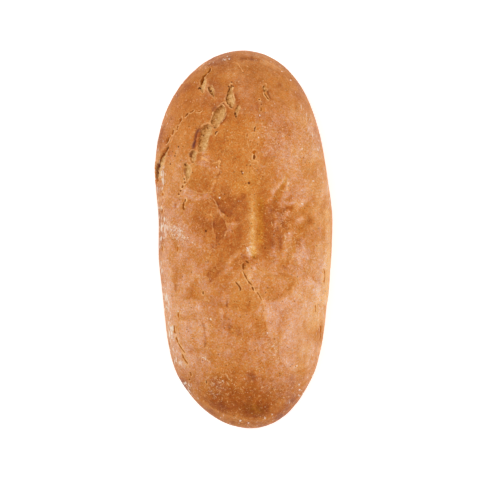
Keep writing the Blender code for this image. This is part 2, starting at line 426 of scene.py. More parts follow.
tears = {
    "headLeft": {
        "wall": ((203.6, 77.5), (201.4, 80), (200.8, 84), (200, 87), (200.3, 90), (202.2, 92.3)),
        "far": ((204.6, 77.3), (205.6, 80), (205.5, 84), (204.4, 88), (203, 92)),
        "depth": 1.5, "light": 0.56, "paintedShade": 0.28, "shadeWidth": 0.5, "lips": (0.3, 0.5),
    },
    "headPit": {
        "wall": ((208.6, 86.3), (207.9, 88.5), (209, 91.5), (211.2, 94.5), (212.8, 97)),
        "far": ((210.5, 86.3), (213.4, 87.6), (214.5, 90.5), (214.2, 94), (213.6, 96.8)),
        "depth": 1.6, "light": 0.42, "paintedShade": 0.20, "shadeWidth": 1.5, "lips": (0.5, 0.4),
    },
    "middle": {
        "wall": ((231.2, 83.8), (229, 87.8), (227.5, 92), (226.3, 97), (225.5, 101.3), (228.3, 104),
                 (230.8, 107.3)),
        "far": ((231.9, 84), (232.6, 87.5), (232.4, 92), (233, 97.5), (234.8, 101.6), (234.2, 104.4),
                (232.4, 107.6)),
        "depth": 2.0, "light": 0.46, "paintedShade": 0.32, "shadeWidth": 0.8, "lips": (0.4, 0.8),
    },
    "middleSide": {
        "wall": ((237.6, 105), (235.2, 109), (234.4, 113), (234.7, 117.5)),
        "far": ((239, 105.4), (239.1, 109), (237.5, 113), (236, 117.5)),
        "depth": 1.4, "light": 0.40, "paintedShade": 0.26, "shadeWidth": 0.8, "lips": (0.2, 0.8),
    },
    "rightTop": {
        "wall": ((264.4, 84.2), (263.5, 86.6), (263.2, 89.6), (263.6, 92.6)),
        "far": ((265, 84.2), (265.9, 86.6), (265.8, 89.6), (264.6, 92.8)),
        "depth": 1.2, "light": 0.30, "paintedShade": 0.20, "shadeWidth": 0.7, "lips": (0.4, 0.4),
    },
    "upper": {
        "wall": ((221.5, 105), (218.3, 107), (215.2, 110.4), (213.2, 114), (211.8, 118), (211.0, 122),
                 (212.2, 125.4), (213.8, 128)),
        "far": ((223.2, 104.8), (225.0, 108), (225.3, 112.5), (223.8, 117.5), (221, 121.5), (217.5, 125.6),
                (214.8, 128.6)),
        "depth": 2.6, "light": 0.41, "paintedShade": 0.18, "shadeWidth": 1.7, "lips": (0.7, 0.9),
    },
    "great": {
        "wall": ((207, 123.8), (203.6, 126), (201, 128.6), (199.4, 132), (198.3, 137), (197.7, 142),
                 (197.3, 146.5), (197.5, 150.5)),
        "far": ((208.4, 123.8), (210.8, 126.5), (212, 130), (211.2, 133.4), (209.6, 137.5), (208, 142),
                (206.4, 147), (203.4, 150.8), (199.5, 152)),
        "depth": 3.2, "light": 0.46, "paintedShade": 0.20, "shadeWidth": 1.5, "lips": (0.4, 0.4),
    },
    "belowGreat": {
        "wall": ((192.6, 150.4), (190.3, 152.4), (189.4, 156), (190, 159.6), (191.8, 162.6)),
        "far": ((194.6, 150.6), (196.4, 153), (196.3, 156.5), (195.2, 160), (193.2, 162.9)),
        "depth": 2.2, "light": 0.60, "paintedShade": 0.30, "shadeWidth": 0.8, "lips": (0.5, 0.5),
    },
    "lowLeft": {
        "wall": ((185.6, 162.7), (184.1, 165), (184.6, 169), (184.7, 173), (185.3, 177.5), (186.4, 180.5)),
        "far": ((187, 162.9), (188.8, 166), (190.8, 168.6), (190.6, 173), (189.2, 177.5), (187.3, 180.6)),
        "depth": 1.2, "light": 0.42, "paintedShade": 0.08, "shadeWidth": 0.8, "lips": (0.5, 0.6),
    },
    "side": {
        "wall": ((168.9, 145.3), (165.6, 149.4), (162.4, 153.6), (159.7, 157.8), (158.2, 162), (156.8, 166),
                 (155.8, 171), (155.6, 176), (156.6, 182)),
        "far": ((169.8, 145.6), (167.6, 151.2), (166.2, 156), (164.6, 161), (162.6, 165.6), (161, 170),
                (159.8, 176), (158.2, 182)),
        "depth": 1.6, "light": 0.52, "paintedShade": 0.40, "shadeWidth": 1.1, "lips": (0.15, 0.5),
    },
}


tearForm = {
    # millimetres, apart from shares
    "reachPixels": 6,
    "edge": (-0.3, 0.35),  # the floor drops between these distances inside the outline
    "floorRise": (0.75, 0.1, 1.0),  # share of the depth regained, and from where to where across
    "crumbs": ((0.26, 2.8), (0.20, 1.6)),  # height and wavelength
    "crumbsFrom": (0, 1.2),
    "rim": (-0.9, 0.8, 0.4),  # place, spread and height of the swelling outside
    "squeeze": (0.8, 0.5),  # points near the outline are drawn to it: by which share, and spread
    "pores": (0.4, 2.0, 1.3, 2.0),  # depth, wavelength, at which wave height they begin and are full
    "shade": (0.2, 0.2, 3.0),  # place of the painted shade at the wall, and how it varies: share, wavelength
    "brighter": (0.16, 0.2, 0.9),  # painted light, the crumb paler towards the far edge that faces the light: by how much, between these shares of the way across
    "mottling": (0.05, 4.0),
    "lip": (0.75, 0.5, 4.0, 0.1, 1.3),  # what patchy takes
}


def openTear(tear, seed):
    # a steep wall with painted shade on the crumb beside it, a floor of rough crumb rising and painted paler
    # towards the far edge, and a lip along each
    form = tearForm
    wall, far = smoothRoute(tear["wall"]), smoothRoute(tear["far"])
    outline = np.vstack([wall, far[::-1], wall[:1]])
    near = closeTo(outline, form["reachPixels"])
    place, spot = points[near], frayed[near]
    away, inward = offsetFrom(outline, spot)
    inward = np.where(insideOf(outline, spot), inward, -inward) * photo["mmPerPixel"]
    fromWall, fromFar = (offsetFrom(side, spot)[1] * photo["mmPerPixel"] for side in (wall, far))
    across = fromWall / (fromWall + fromFar + 0.01)
    inside = rise(inward, *form["edge"])
    regained, start, end = form["floorRise"]
    lift[near] -= tear["depth"] * inside * (1 - regained * rise(across, start, end))
    lift[near] += inside * rise(inward, *form["crumbsFrom"]) * layered(place, form["crumbs"], seed + 2)
    lift[near] += bump(inward, form["rim"])
    drawn, spread = form["squeeze"]
    slide[near] -= alongSkin(near, away) * (drawn * bell(inward, 0, spread))[:, None]
    within["tear"][near] = np.maximum(within["tear"][near], inward)
    depth, length, start, end = form["pores"]
    pores = inside * rise(waves(place, length, seed + 4), start, end)
    lift[near] -= depth * pores
    # painted shade: the crumb darker beside the wall and in the pores
    shadeAt, varied, length = form["shade"]
    shaded = bell(fromWall, shadeAt, tear["shadeWidth"]) * (1 + varied * waves(place, length, seed + 5))
    shaded += depth * pores
    # painted light: the crumb paler towards the far edge
    brighter, start, end = form["brighter"]
    mottling, length = form["mottling"]
    light = tear["light"] + brighter * rise(across, start, end) + mottling * waves(place, length, seed + 6)
    light -= tear["paintedShade"] * shaded
    closest = inward > innermost[near]
    keepWhere(closest, near, "crumbTone", light)
    lip = np.where(across < 0.5, *tear["lips"]) * patchy(place, seed + 7, *form["lip"])
    keepWhere(closest, near, "lip", lip)
    innermost[near] = np.maximum(innermost[near], inward)


innermost = np.full(len(points), -farAway)  # the deepest that a point lies inside any tear so far
for number, tear in enumerate(tears.values()):
    openTear(tear, seeds["tears"] + seeds["tearStep"] * number)
print("tears opened", len(tears))

# cracks and slits: marks in pixels, half width and depth in millimetres, hue (0 purple, 0.5 dark brown,
# 1 golden brown), lips on the left and right, and how many dashes it is broken into, if any

# a crack's dark inside is partly darker crust and partly painted shade in its groove
cracks = {
    "headLineTop": (((210.4, 68.4), (209.6, 71), (207.6, 73.6)), 0.75, 1, 0.68, 0, 0.6),
    "headLineLow": (((207, 73.6), (204.9, 76), (202.8, 78.4), (201.4, 81), (200.6, 84)), 0.72, 1.1, 0.7, 0,
        0.5),
    "headDot": (((199.1, 87), (199.9, 88.8)), 1.1, 1, 0.45, 0, 0.2),
    "arcFaint": (((201.8, 110.4), (200, 111.6), (197.6, 112.3)), 0.4, 0.5, 0.85, 0.1, 0.6, 2),
    "arcUpper": (((194.4, 110), (192.2, 111.6), (190.2, 112.8)), 0.55, 0.8, 0.75, 0.1, 0.65, 2.5),
    "arcUpperLow": (((189, 113), (187.2, 114.6), (185.7, 117.2)), 0.7, 1.1, 0.66, 0.1, 0.8, 1.5),
    "arcMiddle": (((181.7, 117.2), (180.3, 120.5), (178.8, 125)), 0.88, 1.1, 0.82, 0.1, 0.8, 1.5),
    "arcMiddleLow": (((178.5, 125.6), (177.5, 128), (176.9, 130.4)), 0.65, 1, 0.82, 0.3, 0.8, 1.5),
    "arcLower": (((173.6, 129.8), (172.7, 132), (171.9, 134.8)), 0.7, 1, 0.78, 0.1, 0.9),
    "arcYellow": (((170, 135), (169.4, 138)), 0.6, 0.6, 1, 0, 0.6),
    "arcLow": (((168.4, 137), (167.6, 140.4), (166.4, 143.8)), 0.85, 1.2, 0.74, 0, 0.8),
    "rightLower": (((264, 93), (265.4, 95.2), (267, 97.2), (268.8, 99.6)), 0.38, 0.8, 0.6, 0.9, 0.6, 3.5),
    "besideDotA": (((259.3, 99.2), (259.4, 100.3)), 0.5, 0.5, 0.5, 0.3, 0.6),
    "besideDotB": (((261.2, 103.8), (261.4, 105)), 0.5, 0.5, 0.35, 0.2, 0.2),
    "besideDotC": (((260.8, 107.3), (261.2, 109.2), (260.9, 111)), 0.6, 0.7, 0.75, 0.4, 0.2, 1.5),
    "greatRight": (((217.8, 131.4), (215.8, 132.4), (215.2, 134.8)), 0.32, 0.4, 0.5, 0, 0.5),
    "bubble": (((254.3, 154.4), (254.2, 157), (254.4, 160)), 0.75, 0.8, 0.6, 0.7, 0.5),
    "bubbleTop": (((255.6, 150.6), (254, 152.2), (252.8, 153.6)), 1.2, 0.9, 0.92, 0.5, 0),
    "aboveBubble": (((257, 143.6), (257.6, 144.8)), 0.45, 0.4, 0.45, 0.1, 0.5),
    "beforeBubble": (((255.8, 126), (254.7, 128.4), (254.3, 131.6)), 0.42, 0.6, 0.5, 0.2, 0.2, 1.5),
    "porous": (((247.3, 133.4), (246.9, 137)), 0.32, 0.3, 0.75, 0.2, 0.2),
    "poreA": (((184.2, 178.4), (183.6, 179.8)), 0.6, 0.6, 0.5, 0.4, 0.8),
    "poreB": (((184.4, 181.4), (184, 183.6)), 0.6, 0.7, 0.75, 0.5, 1),
    "poreC": (((182.4, 185.2), (181.5, 188)), 0.6, 0.8, 0.75, 0.5, 1),
    "poreD": (((180.6, 190), (180.1, 191.6)), 0.6, 0.6, 0.65, 0.4, 0.8),
    "poreE": (((179.1, 193.2), (178.6, 195)), 0.65, 0.6, 0.25, 0.3, 0.8),
    "slitLeftTop": (((185.9, 199), (185.2, 202)), 0.4, 0.5, 0.5, 0.2, 1, 1.5),
    "slitLeft": (((184.2, 201.8), (183.6, 206), (184, 209), (184.6, 210.4)), 0.6, 1, 0.72, 0.1, 0.9),
    "ridgeFootTop": (((243.6, 263), (243, 266), (243.5, 270)), 0.62, 0.9, 0.66, 0.3, 0),
    "ridgeFootArc": (((245.2, 260.8), (247, 261.6), (248.8, 263.2)), 0.55, 0.4, 0.6, 0.1, 0.2),
    "ridgeFoot": (((242.8, 271), (245, 275.4), (247.6, 280.2), (250, 283.4), (252.4, 285.8)), 0.44, 0.9,
        0.66, 0.7, 0.1, 2.2),
    "ridgeFootLow": (((252.4, 286.6), (252.8, 288.8), (253.8, 290.6)), 0.45, 0.5, 0.6, 0.2, 0.8),
    "ridgeFootEnd": (((256.8, 291.8), (258.7, 294.6), (260.4, 297.6), (262, 300.6)), 0.34, 0.5, 0.72, 0.5,
        0.35, 2.6),
    "ridgeFootLeft": (((235.4, 281.6), (238, 284.8), (240.4, 288.4), (239.8, 291.4)), 0.38, 0.7, 0.62, 0.3,
        0.2),
    "slitA": (((177.4, 246.6), (177.4, 252)), 0.5, 0.7, 1, 0.2, 0.8),
    "slitB": (((161.6, 208.6), (161.8, 211), (161.6, 213.8)), 0.8, 0.8, 0.9, 0.2, 0.7),
    "slitD": (((203, 291), (203, 294.5)), 0.4, 0.5, 0.6, 0.4, 0.4),
    "slitF": (((162.4, 192.6), (162.6, 196)), 0.5, 0.5, 1, 0.2, 0.7),
    "slitG": (((162.6, 246), (162.3, 251)), 0.6, 0.5, 1, 0.2, 0.7),
    "slitJ": (((157.2, 179), (157.2, 184)), 0.6, 0.5, 0.9, 0, 0.5),
    "chainTop": (((178.3, 312.2), (178.6, 317.6)), 0.45, 0.8, 1, 0.3, 0.8),
    "chainA": (((174.5, 325), (174.6, 329.4), (175.3, 333.8)), 0.62, 1, 0.9, 0.2, 0.9),
    "chainB": (((176, 336.4), (176.8, 339.4), (178, 342.6)), 0.58, 1, 0.9, 0.5, 1),
    "chainThin": (((178, 343.2), (180.6, 347.4), (183, 350.8), (184.8, 353.4)), 0.4, 0.8, 0.9, 0.5, 0.9),
    "chainC": (((181.8, 353.8), (183.5, 357.6), (185.7, 361.2), (187.8, 364)), 0.46, 1, 0.84, 0.4, 0.9),
    "chainLowA": (((190.6, 372.2), (190.7, 376.2)), 0.5, 0.7, 0.8, 0.2, 0.6),
    "chainLowB": (((189.6, 378.8), (189, 380.2)), 0.6, 0.6, 0.7, 0.2, 0.4),
    "slitTail": (((206.3, 380.4), (206.1, 383.8)), 0.38, 0.5, 0.6, 0.4, 0.4),
    "rightEdge": (((320.7, 325.6), (321.1, 328.6), (320.9, 333)), 0.78, 1.1, 0.98, 0.1, 0.1),
    "rightEdgeLow": (((320.9, 333), (320.7, 336.4), (319.8, 340.8)), 0.5, 0.8, 1, 0.5, 0.3),
    "rightEdgeHigh": (((323.4, 268), (324.6, 275), (323.4, 284.6)), 0.36, 0.5, 1, 0.6, 0.3, 2),
    "rightEdgeDash": (((315.4, 304.6), (315.6, 308), (315.2, 313)), 0.35, 0.5, 1, 0.4, 0.5, 2),
}

crackForm = {
    # millimetres, apart from shares
    "reach": 5.0,
    "dashed": (0.66, 0.34),  # mean and swing of the strength of a broken crack
    "strength": (1, 0.22, 2.6, 0.5, 1.4),  # this one and the lip are what patchy takes
    "fade": (0.16, 0.1),  # shares of the length over which the width and the rest fade
    "squeeze": (0.9, 0.8),  # as for tears
    "swell": (0.3, 1.9, 0.8),  # height of the lips; their place and spread in half widths
    "lip": (0.8, 0.4, 3.0, 0.1, 1.3),
    "paler": (0.9, 1.5, 0.5),  # less blush beside it: how much, its spread, and how many half widths more
    "leastSeen": 0.42,  # the share of its width that it keeps on the steepest flank
}


def asSeen(side, right):
    # a distance along the skin as it looks from above, though not much less on the steepest flanks
    return side * np.clip(np.hypot(right[:, 0], right[:, 1]), crackForm["leastSeen"], 1)


def openCrack(number, marks, width, depth, hue, leftLip, rightLip, dashes=0):
    # a groove with the section of a bell, its walls drawn together, and a low swelling along each side
    form, seed = crackForm, seeds["cracks"] + number
    near, share, side, right = follow(marks, form["reach"])
    mean, swing = form["dashed"]
    broken = mean + swing * np.sin(2 * math.pi * dashes * share + seed) if dashes else 1.0
    closing, easing = form["fade"]
    strength = ends(share, closing) * broken * patchy(points[near], seed, *form["strength"])
    drawn, spread = form["squeeze"]
    pull = drawn * bell(side, 0, spread) * ends(share, easing)
    slide[near] -= (side * pull)[:, None] * right
    side = asSeen(side - side * pull, right)
    lift[near] -= depth * strength * bell(side, 0, width)
    leftOrRight = np.where(side < 0, leftLip, rightLip)
    height, place, spread = form["swell"]
    lift[near] += height * (leftOrRight * ends(share)) * bell(np.abs(side), place * width, spread * width)
    inward = width * strength - np.abs(side)
    closest = inward > within["crack"][near]
    within["crack"][near] = np.maximum(within["crack"][near], inward)
    keepWhere(closest, near, "hue", hue)
    lip = leftOrRight * patchy(points[near], seeds["crackLips"] + number, *form["lip"])
    keepWhere(closest, near, "crackLip", lip)
    paler, spread, more = form["paler"]
    paint["blush"][near] -= paler * ends(share, easing) * bell(side, 0, spread + more * width)


for number, crack in enumerate(cracks.values()):
    openCrack(number, *crack)
print("cracks opened", len(cracks))

# folds that only cast a painted shadow, a soft purple or red line: marks, half width in
# millimetres, strength and hue (0 purple, 1 red)

foldShades = {
    "greatFold": (((201.4, 126.6), (199.2, 129.4), (197.1, 132.3), (195.7, 136), (194.7, 141), (193.9, 145),
        (192, 150.6)), 0.88, 0.95, 0.1),
    "greatWall": (((200, 130), (198.4, 134), (196.8, 139), (196, 144), (195, 149.6)), 1, 0.6, 0.9),
    "upperFold": (((216.4, 106), (213.9, 108.6), (212, 112)), 0.8, 0.5, 0.1),
    "upperRight": (((226.4, 111), (225.5, 116), (222.8, 120.6), (219.6, 124.6)), 0.8, 0.6, 0.7),
    "greatRight": (((213.6, 134.5), (211.4, 138.4), (210, 143)), 0.8, 0.45, 1),
    "middleRight": (((236.2, 99), (237.4, 103), (236, 107)), 0.8, 0.4, 1),
    "sideRight": (((169.6, 149), (168.8, 155), (167.2, 161), (165, 166)), 1, 0.4, 1),
    "rightFold": (((267.2, 90), (268.8, 94.6), (270.8, 99.4)), 0.7, 0.9, 0.5),
    "rightTopLeft": (((262, 85), (261.8, 90), (263, 94)), 0.9, 0.35, 1),
    "besideFold": (((256.5, 99.4), (256.7, 104.6), (257.4, 108.5), (258.6, 112.4)), 0.9, 0.65, 0.8),
    "bubbleRight": (((256.8, 150.6), (257.5, 154), (256.8, 157)), 0.8, 0.4, 1),
    "slitC": (((226.9, 299.6), (226.5, 303.6), (227.3, 308)), 0.5, 0.85, 0.6),
    "belowWall": (((191.8, 150.8), (190.4, 153.4), (190.2, 158)), 0.6, 1, 0.5),
    "slitE": (((208.2, 258), (207.6, 263.5)), 0.5, 0.6, 0.6),
    "lowLeftWall": (((184.7, 167.4), (184.3, 172), (185, 177)), 0.55, 0.7, 0.6),
    "patchDash": (((204.6, 343.4), (204.5, 347)), 0.4, 0.9, 0.5),
    "slitH": (((175.4, 201.6), (175.3, 209)), 0.7, 0.45, 0.8),
    "slitI": (((175.5, 283), (175.4, 292.4)), 0.8, 0.6, 0.7),
    "browShade": (((214.8, 199.6), (218.6, 206.4), (221.2, 210.2), (226, 214.6)), 0.7, 0.6, 0.5),
    "scaleShade": (((219.6, 163), (219.6, 169), (216.8, 177), (214.6, 181)), 0.6, 0.38, 0.6),
    "belowGreatRight": (((200.6, 156), (198, 160), (196, 164.5)), 1, 0.4, 1),
    "patchRight": (((199.8, 320.6), (202.4, 323), (203.8, 328), (204.8, 335), (204.7, 342), (204, 347.6)),
        0.5, 0.4, 0.8),
    "patchLobe": (((203, 322), (205, 326), (205.2, 331)), 0.5, 0.35, 0.6),
    "sideGap": (((168.2, 146.6), (165.2, 150.2), (162.2, 154.4), (160.2, 158), (158.9, 161.6)), 0.5, 0.8,
        0.8),
    "sideGapLow": (((158.6, 162.4), (157.5, 166.8), (156.8, 171), (156.6, 175.6)), 1.1, 1.9, 0.45),
    "sideGapEnd": (((156.6, 176.2), (156.8, 179), (157.2, 183)), 0.5, 1.1, 1),
    "cheekHook": (((320, 244), (320.6, 258), (320.2, 272), (317.6, 290)), 1.6, 0.3, 1),
}

foldShadeForm = {
    "reach": 5.0,
    "wander": (0.25, 4.0),  # how far and how long it waves from side to side
    "fade": 0.2,  # share of the length over which each end fades
    "strength": (0.9, 0.2, 5.0, 0.4, 1.2),  # what patchy takes
    "depth": 0.4,
}


def layFoldShade(number, marks, width, strength, hue):
    # a painted shadow along a route with the section of a bell, over a shallow groove
    form = foldShadeForm
    near, share, side, right = follow(marks, form["reach"])
    side = asSeen(side, right) + layered(points[near], [form["wander"]], seeds["foldShades"] + number)
    amount = strength * ends(share, form["fade"]) * bell(side, 0, width)
    amount *= patchy(points[near], seeds["foldStrengths"] + number, *form["strength"])
    keepWhere(amount > paint["fold"][near], near, "foldHue", hue)
    paint["fold"][near] = np.maximum(paint["fold"][near], amount)
    lift[near] -= form["depth"] * amount


for number, fold in enumerate(foldShades.values()):
    layFoldShade(number, *fold)
print("folds laid", len(foldShades))

# the pinched ridge, its crest paler: partly paler crust, partly a painted highlight on the side that faces
# the light

ridge = {
    "marks": ((252.2, 187), (252.3, 202), (252.3, 212), (252.4, 222), (252.3, 235), (252.8, 247),
              (254.0, 258)),
    "reach": 22.0,  # millimetres, apart from shares
    "height": 1.9,
    "widths": (3.0, 4.8),  # to the left and to the right
    "fadeIn": (0.0, 0.3),
    "fadeOut": (0.93, 1.0),
    "crestAt": -0.3,
    "crestWidths": (2.4, 3.0),
    "crestStrength": (0.78, 0.2),  # at the start, and how much more at the end
    "look": (0.30, 0.2, 0.6),  # the crest's baking, blush, gold: partly paler crust, partly painted highlight
    "uneven": (0.3, 3.0),  # the baking's waves: how much and how long
}
near, share, side, right = follow(ridge["marks"], ridge["reach"])
fade = rise(share, *ridge["fadeIn"]) * (1 - rise(share, *ridge["fadeOut"]))
slope = np.where(side < 0, *ridge["widths"])
lift[near] += ridge["height"] * fade / (1 + (side / slope) ** 2) ** 1.5
crestWidth = np.where(side < ridge["crestAt"], *ridge["crestWidths"])
crestStart, crestMore = ridge["crestStrength"]
crest = fade * bell(side, ridge["crestAt"], crestWidth) * (crestStart + crestMore * share)
baking, blush, gold = ridge["look"]
# the crest paler and golden: partly paler crust, partly painted highlight
tint(near, crest, 0, blush, gold)
paint["baking"][near] += baking * crest * (1 + layered(points[near], [ridge["uneven"]], seeds["ridge"]))
print("ridge raised")

# pores and pits, darkened by painted shade in their hollows: pixel x, pixel y, radius mm

pits = (
    (231.5, 82, 0.7), (228.6, 86.5, 0.75), (233.3, 86.3, 0.6), (206.5, 127.2, 0.7), (201.8, 134.6, 0.7),
    (223.5, 103.3, 0.5), (235.2, 113, 0.8), (235.9, 116, 0.7), (210.3, 90, 0.9), (192.4, 157.4, 0.55),
    (184.6, 164.6, 0.8), (243.5, 72.3, 0.5), (205.7, 231, 1), (265, 248, 0.7), (241.7, 171.4, 0.75),
    (242.3, 173.8, 0.65), (249, 183, 1), (178.5, 146.8, 0.8), (175.4, 153.4, 0.5), (174.5, 155.8, 0.65),
    (170.2, 164, 0.75), (180.6, 160.6, 0.5), (171.5, 119, 0.5), (160.8, 160.4, 0.7), (158.6, 166, 0.9),
    (232, 231, 0.5), (213, 247, 0.6), (254, 257, 0.6), (300, 240, 0.5), (283, 317, 0.5), (257, 288, 0.5),
    (268, 288, 0.65), (233, 333, 0.4), (247, 330, 0.4), (292, 350, 0.5), (219, 244, 0.6), (204, 236, 0.4),
    (222, 333, 0.4), (205, 344, 0.4), (264.4, 137.6, 0.35), (269.4, 139.2, 0.5), (250.4, 142, 0.5),
    (296.5, 341, 0.5), (290.5, 341, 0.35), (298, 349.2, 0.5), (240.4, 333.6, 0.5), (227.5, 344.5, 0.5),
    (235.5, 288.4, 0.4), (258.5, 167.2, 0.4), (261.6, 168.8, 0.45), (266.5, 172.3, 0.35),
    (246.7, 165.2, 0.45), (227.3, 215.8, 0.6), (216.4, 238, 0.6), (216.2, 245, 0.45), (213.8, 216.4, 0.5),
    (210.3, 255, 0.5), (266, 95.8, 0.5), (268.4, 99, 0.5),
)
pitForm = {"reach": 4, "depth": 0.9, "edge": 0.95}  # in radii
for centre, (_, _, radius) in zip(onCrown([pit[:2] for pit in pits]), pits):
    distance = np.linalg.norm(points - centre, axis=1)
    near = np.flatnonzero(distance < pitForm["reach"] * radius)
    lift[near] -= pitForm["depth"] * radius * bell(distance[near], 0, radius)
    within["pit"][near] = np.maximum(within["pit"][near], pitForm["edge"] * radius - distance[near])
print("pits pressed", len(pits))

# patches of crust with a clear border: outline in pixels; baking, blush, gold, height in millimetres
# and how pale the border is

patches = {
    "scale": (((191, 168), (195, 160), (199, 157), (204, 158), (210, 163), (214, 163), (218.8, 160.2),
        (219.4, 168), (216.6, 178), (213.4, 184), (210.4, 193), (205, 194), (199, 193), (193, 191),
        (187, 186), (189, 177)), (-0.05, -0.1, 0.05, 0.5, 1.2)),
    "aboveScale": (((196, 166), (199, 157), (203, 152), (208, 157), (212, 164), (207, 166)),
        (0.08, 0.4, -0.05, 0.1, 0)),
    "triangle": (((183, 187), (187, 188), (193, 192), (200, 194), (206, 195), (209, 196), (201, 199),
        (190, 200), (180, 199)), (0.12, 0.42, 0, 0, 0)),
    "brow": (((211, 197), (214, 202), (217, 208), (222, 213), (228, 217), (233, 212), (240, 204), (247, 196),
        (241, 193), (232, 196), (222, 199)), (-0.2, 0, 0, -0.4, 0)),
    "leftOfBrow": (((199, 201), (209, 199), (213, 203), (217, 209), (213, 214), (204, 214), (198, 210)),
        (-0.04, -0.18, 0, 0.2, 0.24)),
    "darkScale": (((218, 213), (213.8, 216), (212, 226), (213.4, 232), (216.4, 243), (220, 243), (224, 238),
        (227, 228), (226, 219), (222, 216)), (-0.16, -0.4, 0, -0.3, 0.6)),
    "besideDarkScale": (((205, 215), (211, 215), (213, 222), (213, 232), (209, 226), (205, 221)),
        (0.11, 0.4, 0, 0.1, 0)),
    "orangePatch": (((262, 276), (272, 273), (284, 274), (294, 276), (297, 280), (295, 286), (291, 290),
        (284, 294), (281, 299), (270, 300.5), (263, 299), (258, 290)), (-0.1, -0.31, 0, -0.2, 0.54)),
    "cheek": (((264, 303), (272, 302), (283, 300), (291, 293), (299, 282), (308, 276), (319, 284),
        (320, 310), (318, 340), (308, 366), (292, 373), (281, 362), (280, 345), (270, 340), (267, 325),
        (264, 312)), (0.12, 0.31, -0.1, 0.2, 0.42)),
    "cheekBrown": (((281, 309), (286, 306), (291, 309), (289, 317), (287, 326), (281, 336), (277, 330),
        (279, 318)), (-0.14, -0.27, 0.1, 0, 0.24)),
    "lowLeftPale": (((179, 322), (188, 320.5), (200, 320.5), (203, 324), (204, 334), (204.6, 347),
        (197, 349), (190, 347.5), (184, 342), (179.5, 334)), (0.09, 0.25, 0, 0.2, 0)),
    "lowLobe": (((205, 322), (208, 322), (211, 326), (212.4, 331), (209.6, 335.4), (206, 335.6),
        (205.2, 329)), (0.12, 0.3, -0.05, 0.2, 0.3)),
    "notch": (((209, 268), (216, 266), (221, 271), (219, 279), (214, 281.5), (210, 283), (207, 276)),
        (-0.14, -0.09, 0, -0.2, 0.36)),
    "goldBlock": (((229, 297), (238, 291), (250, 289), (257, 296), (262, 302), (258, 309), (244, 311),
        (232, 311), (227, 304)), (-0.09, -0.36, 0.25, 0, 0.18)),
    "leftPatch": (((183, 302), (192, 300), (201, 302), (203, 309), (196, 312), (187, 311), (182, 308)),
        (0.1, 0.27, 0, 0.1, 0.36)),
    "leftBrown": (((190, 282), (197, 279), (200, 285), (200, 298), (190, 300), (184, 297), (187, 289)),
        (-0.1, -0.27, 0.05, 0, 0.12)),
}

patchForm = {
    "reachPixels": 14,
    "edge": (-0.6, 0.6),  # pixels over which the patch begins
    "shade": (0.14, 1.3, 0.9),  # a painted shadow along the border: how dark; place, spread in pixels
    "slopePixels": 6.0,  # how far from the border its step in height fades out
}
borderForm = {
    "strength": (0.7, 0.5, 9.0, 0.1, 1.1),  # what patchy takes
    "height": 0.16,  # millimetres, like the spread
    "spread": 0.8,
}


def markBorder(near, distance, strength):
    # a thin pale line, broken here and there
    broken = patchy(points[near], seeds["borders"], *borderForm["strength"])
    keepWhere(distance < fromBorder[near], near, "border", strength * broken)
    fromBorder[near] = np.minimum(fromBorder[near], distance)
    lift[near] += borderForm["height"] * strength * broken * bell(distance, 0, borderForm["spread"])


def layPatch(outline, look):
    # a step in tone and height at the outline, and a thin painted shadow on its lower side
    form = patchForm
    route = np.asarray(outline + outline[:1], float)
    baking, blush, gold, height, border = look
    near = closeTo(route, form["reachPixels"])
    inward = offsetFrom(route, ragged[near])[1]
    inward = np.where(insideOf(route, ragged[near]), inward, -inward)
    cover = rise(inward, *form["edge"])
    paintedShade, place, spread = form["shade"]
    lowerSide = 1 if height < 0 else -1  # the painted shadow lies on the lower side of the border
    paint["baking"][near] += baking * cover - paintedShade * border * bell(inward, place * lowerSide, spread)
    tint(near, cover, 0, blush, gold)
    lift[near] += height * (cover - 0.5) * bell(inward, 0, form["slopePixels"])
    if border:
        markBorder(near, np.abs(inward) * photo["mmPerPixel"], border)


for outline, look in patches.values():
    layPatch(outline, look)
print("patches laid", len(patches))

# thin pale lines that close no patch: marks in pixels, then strength

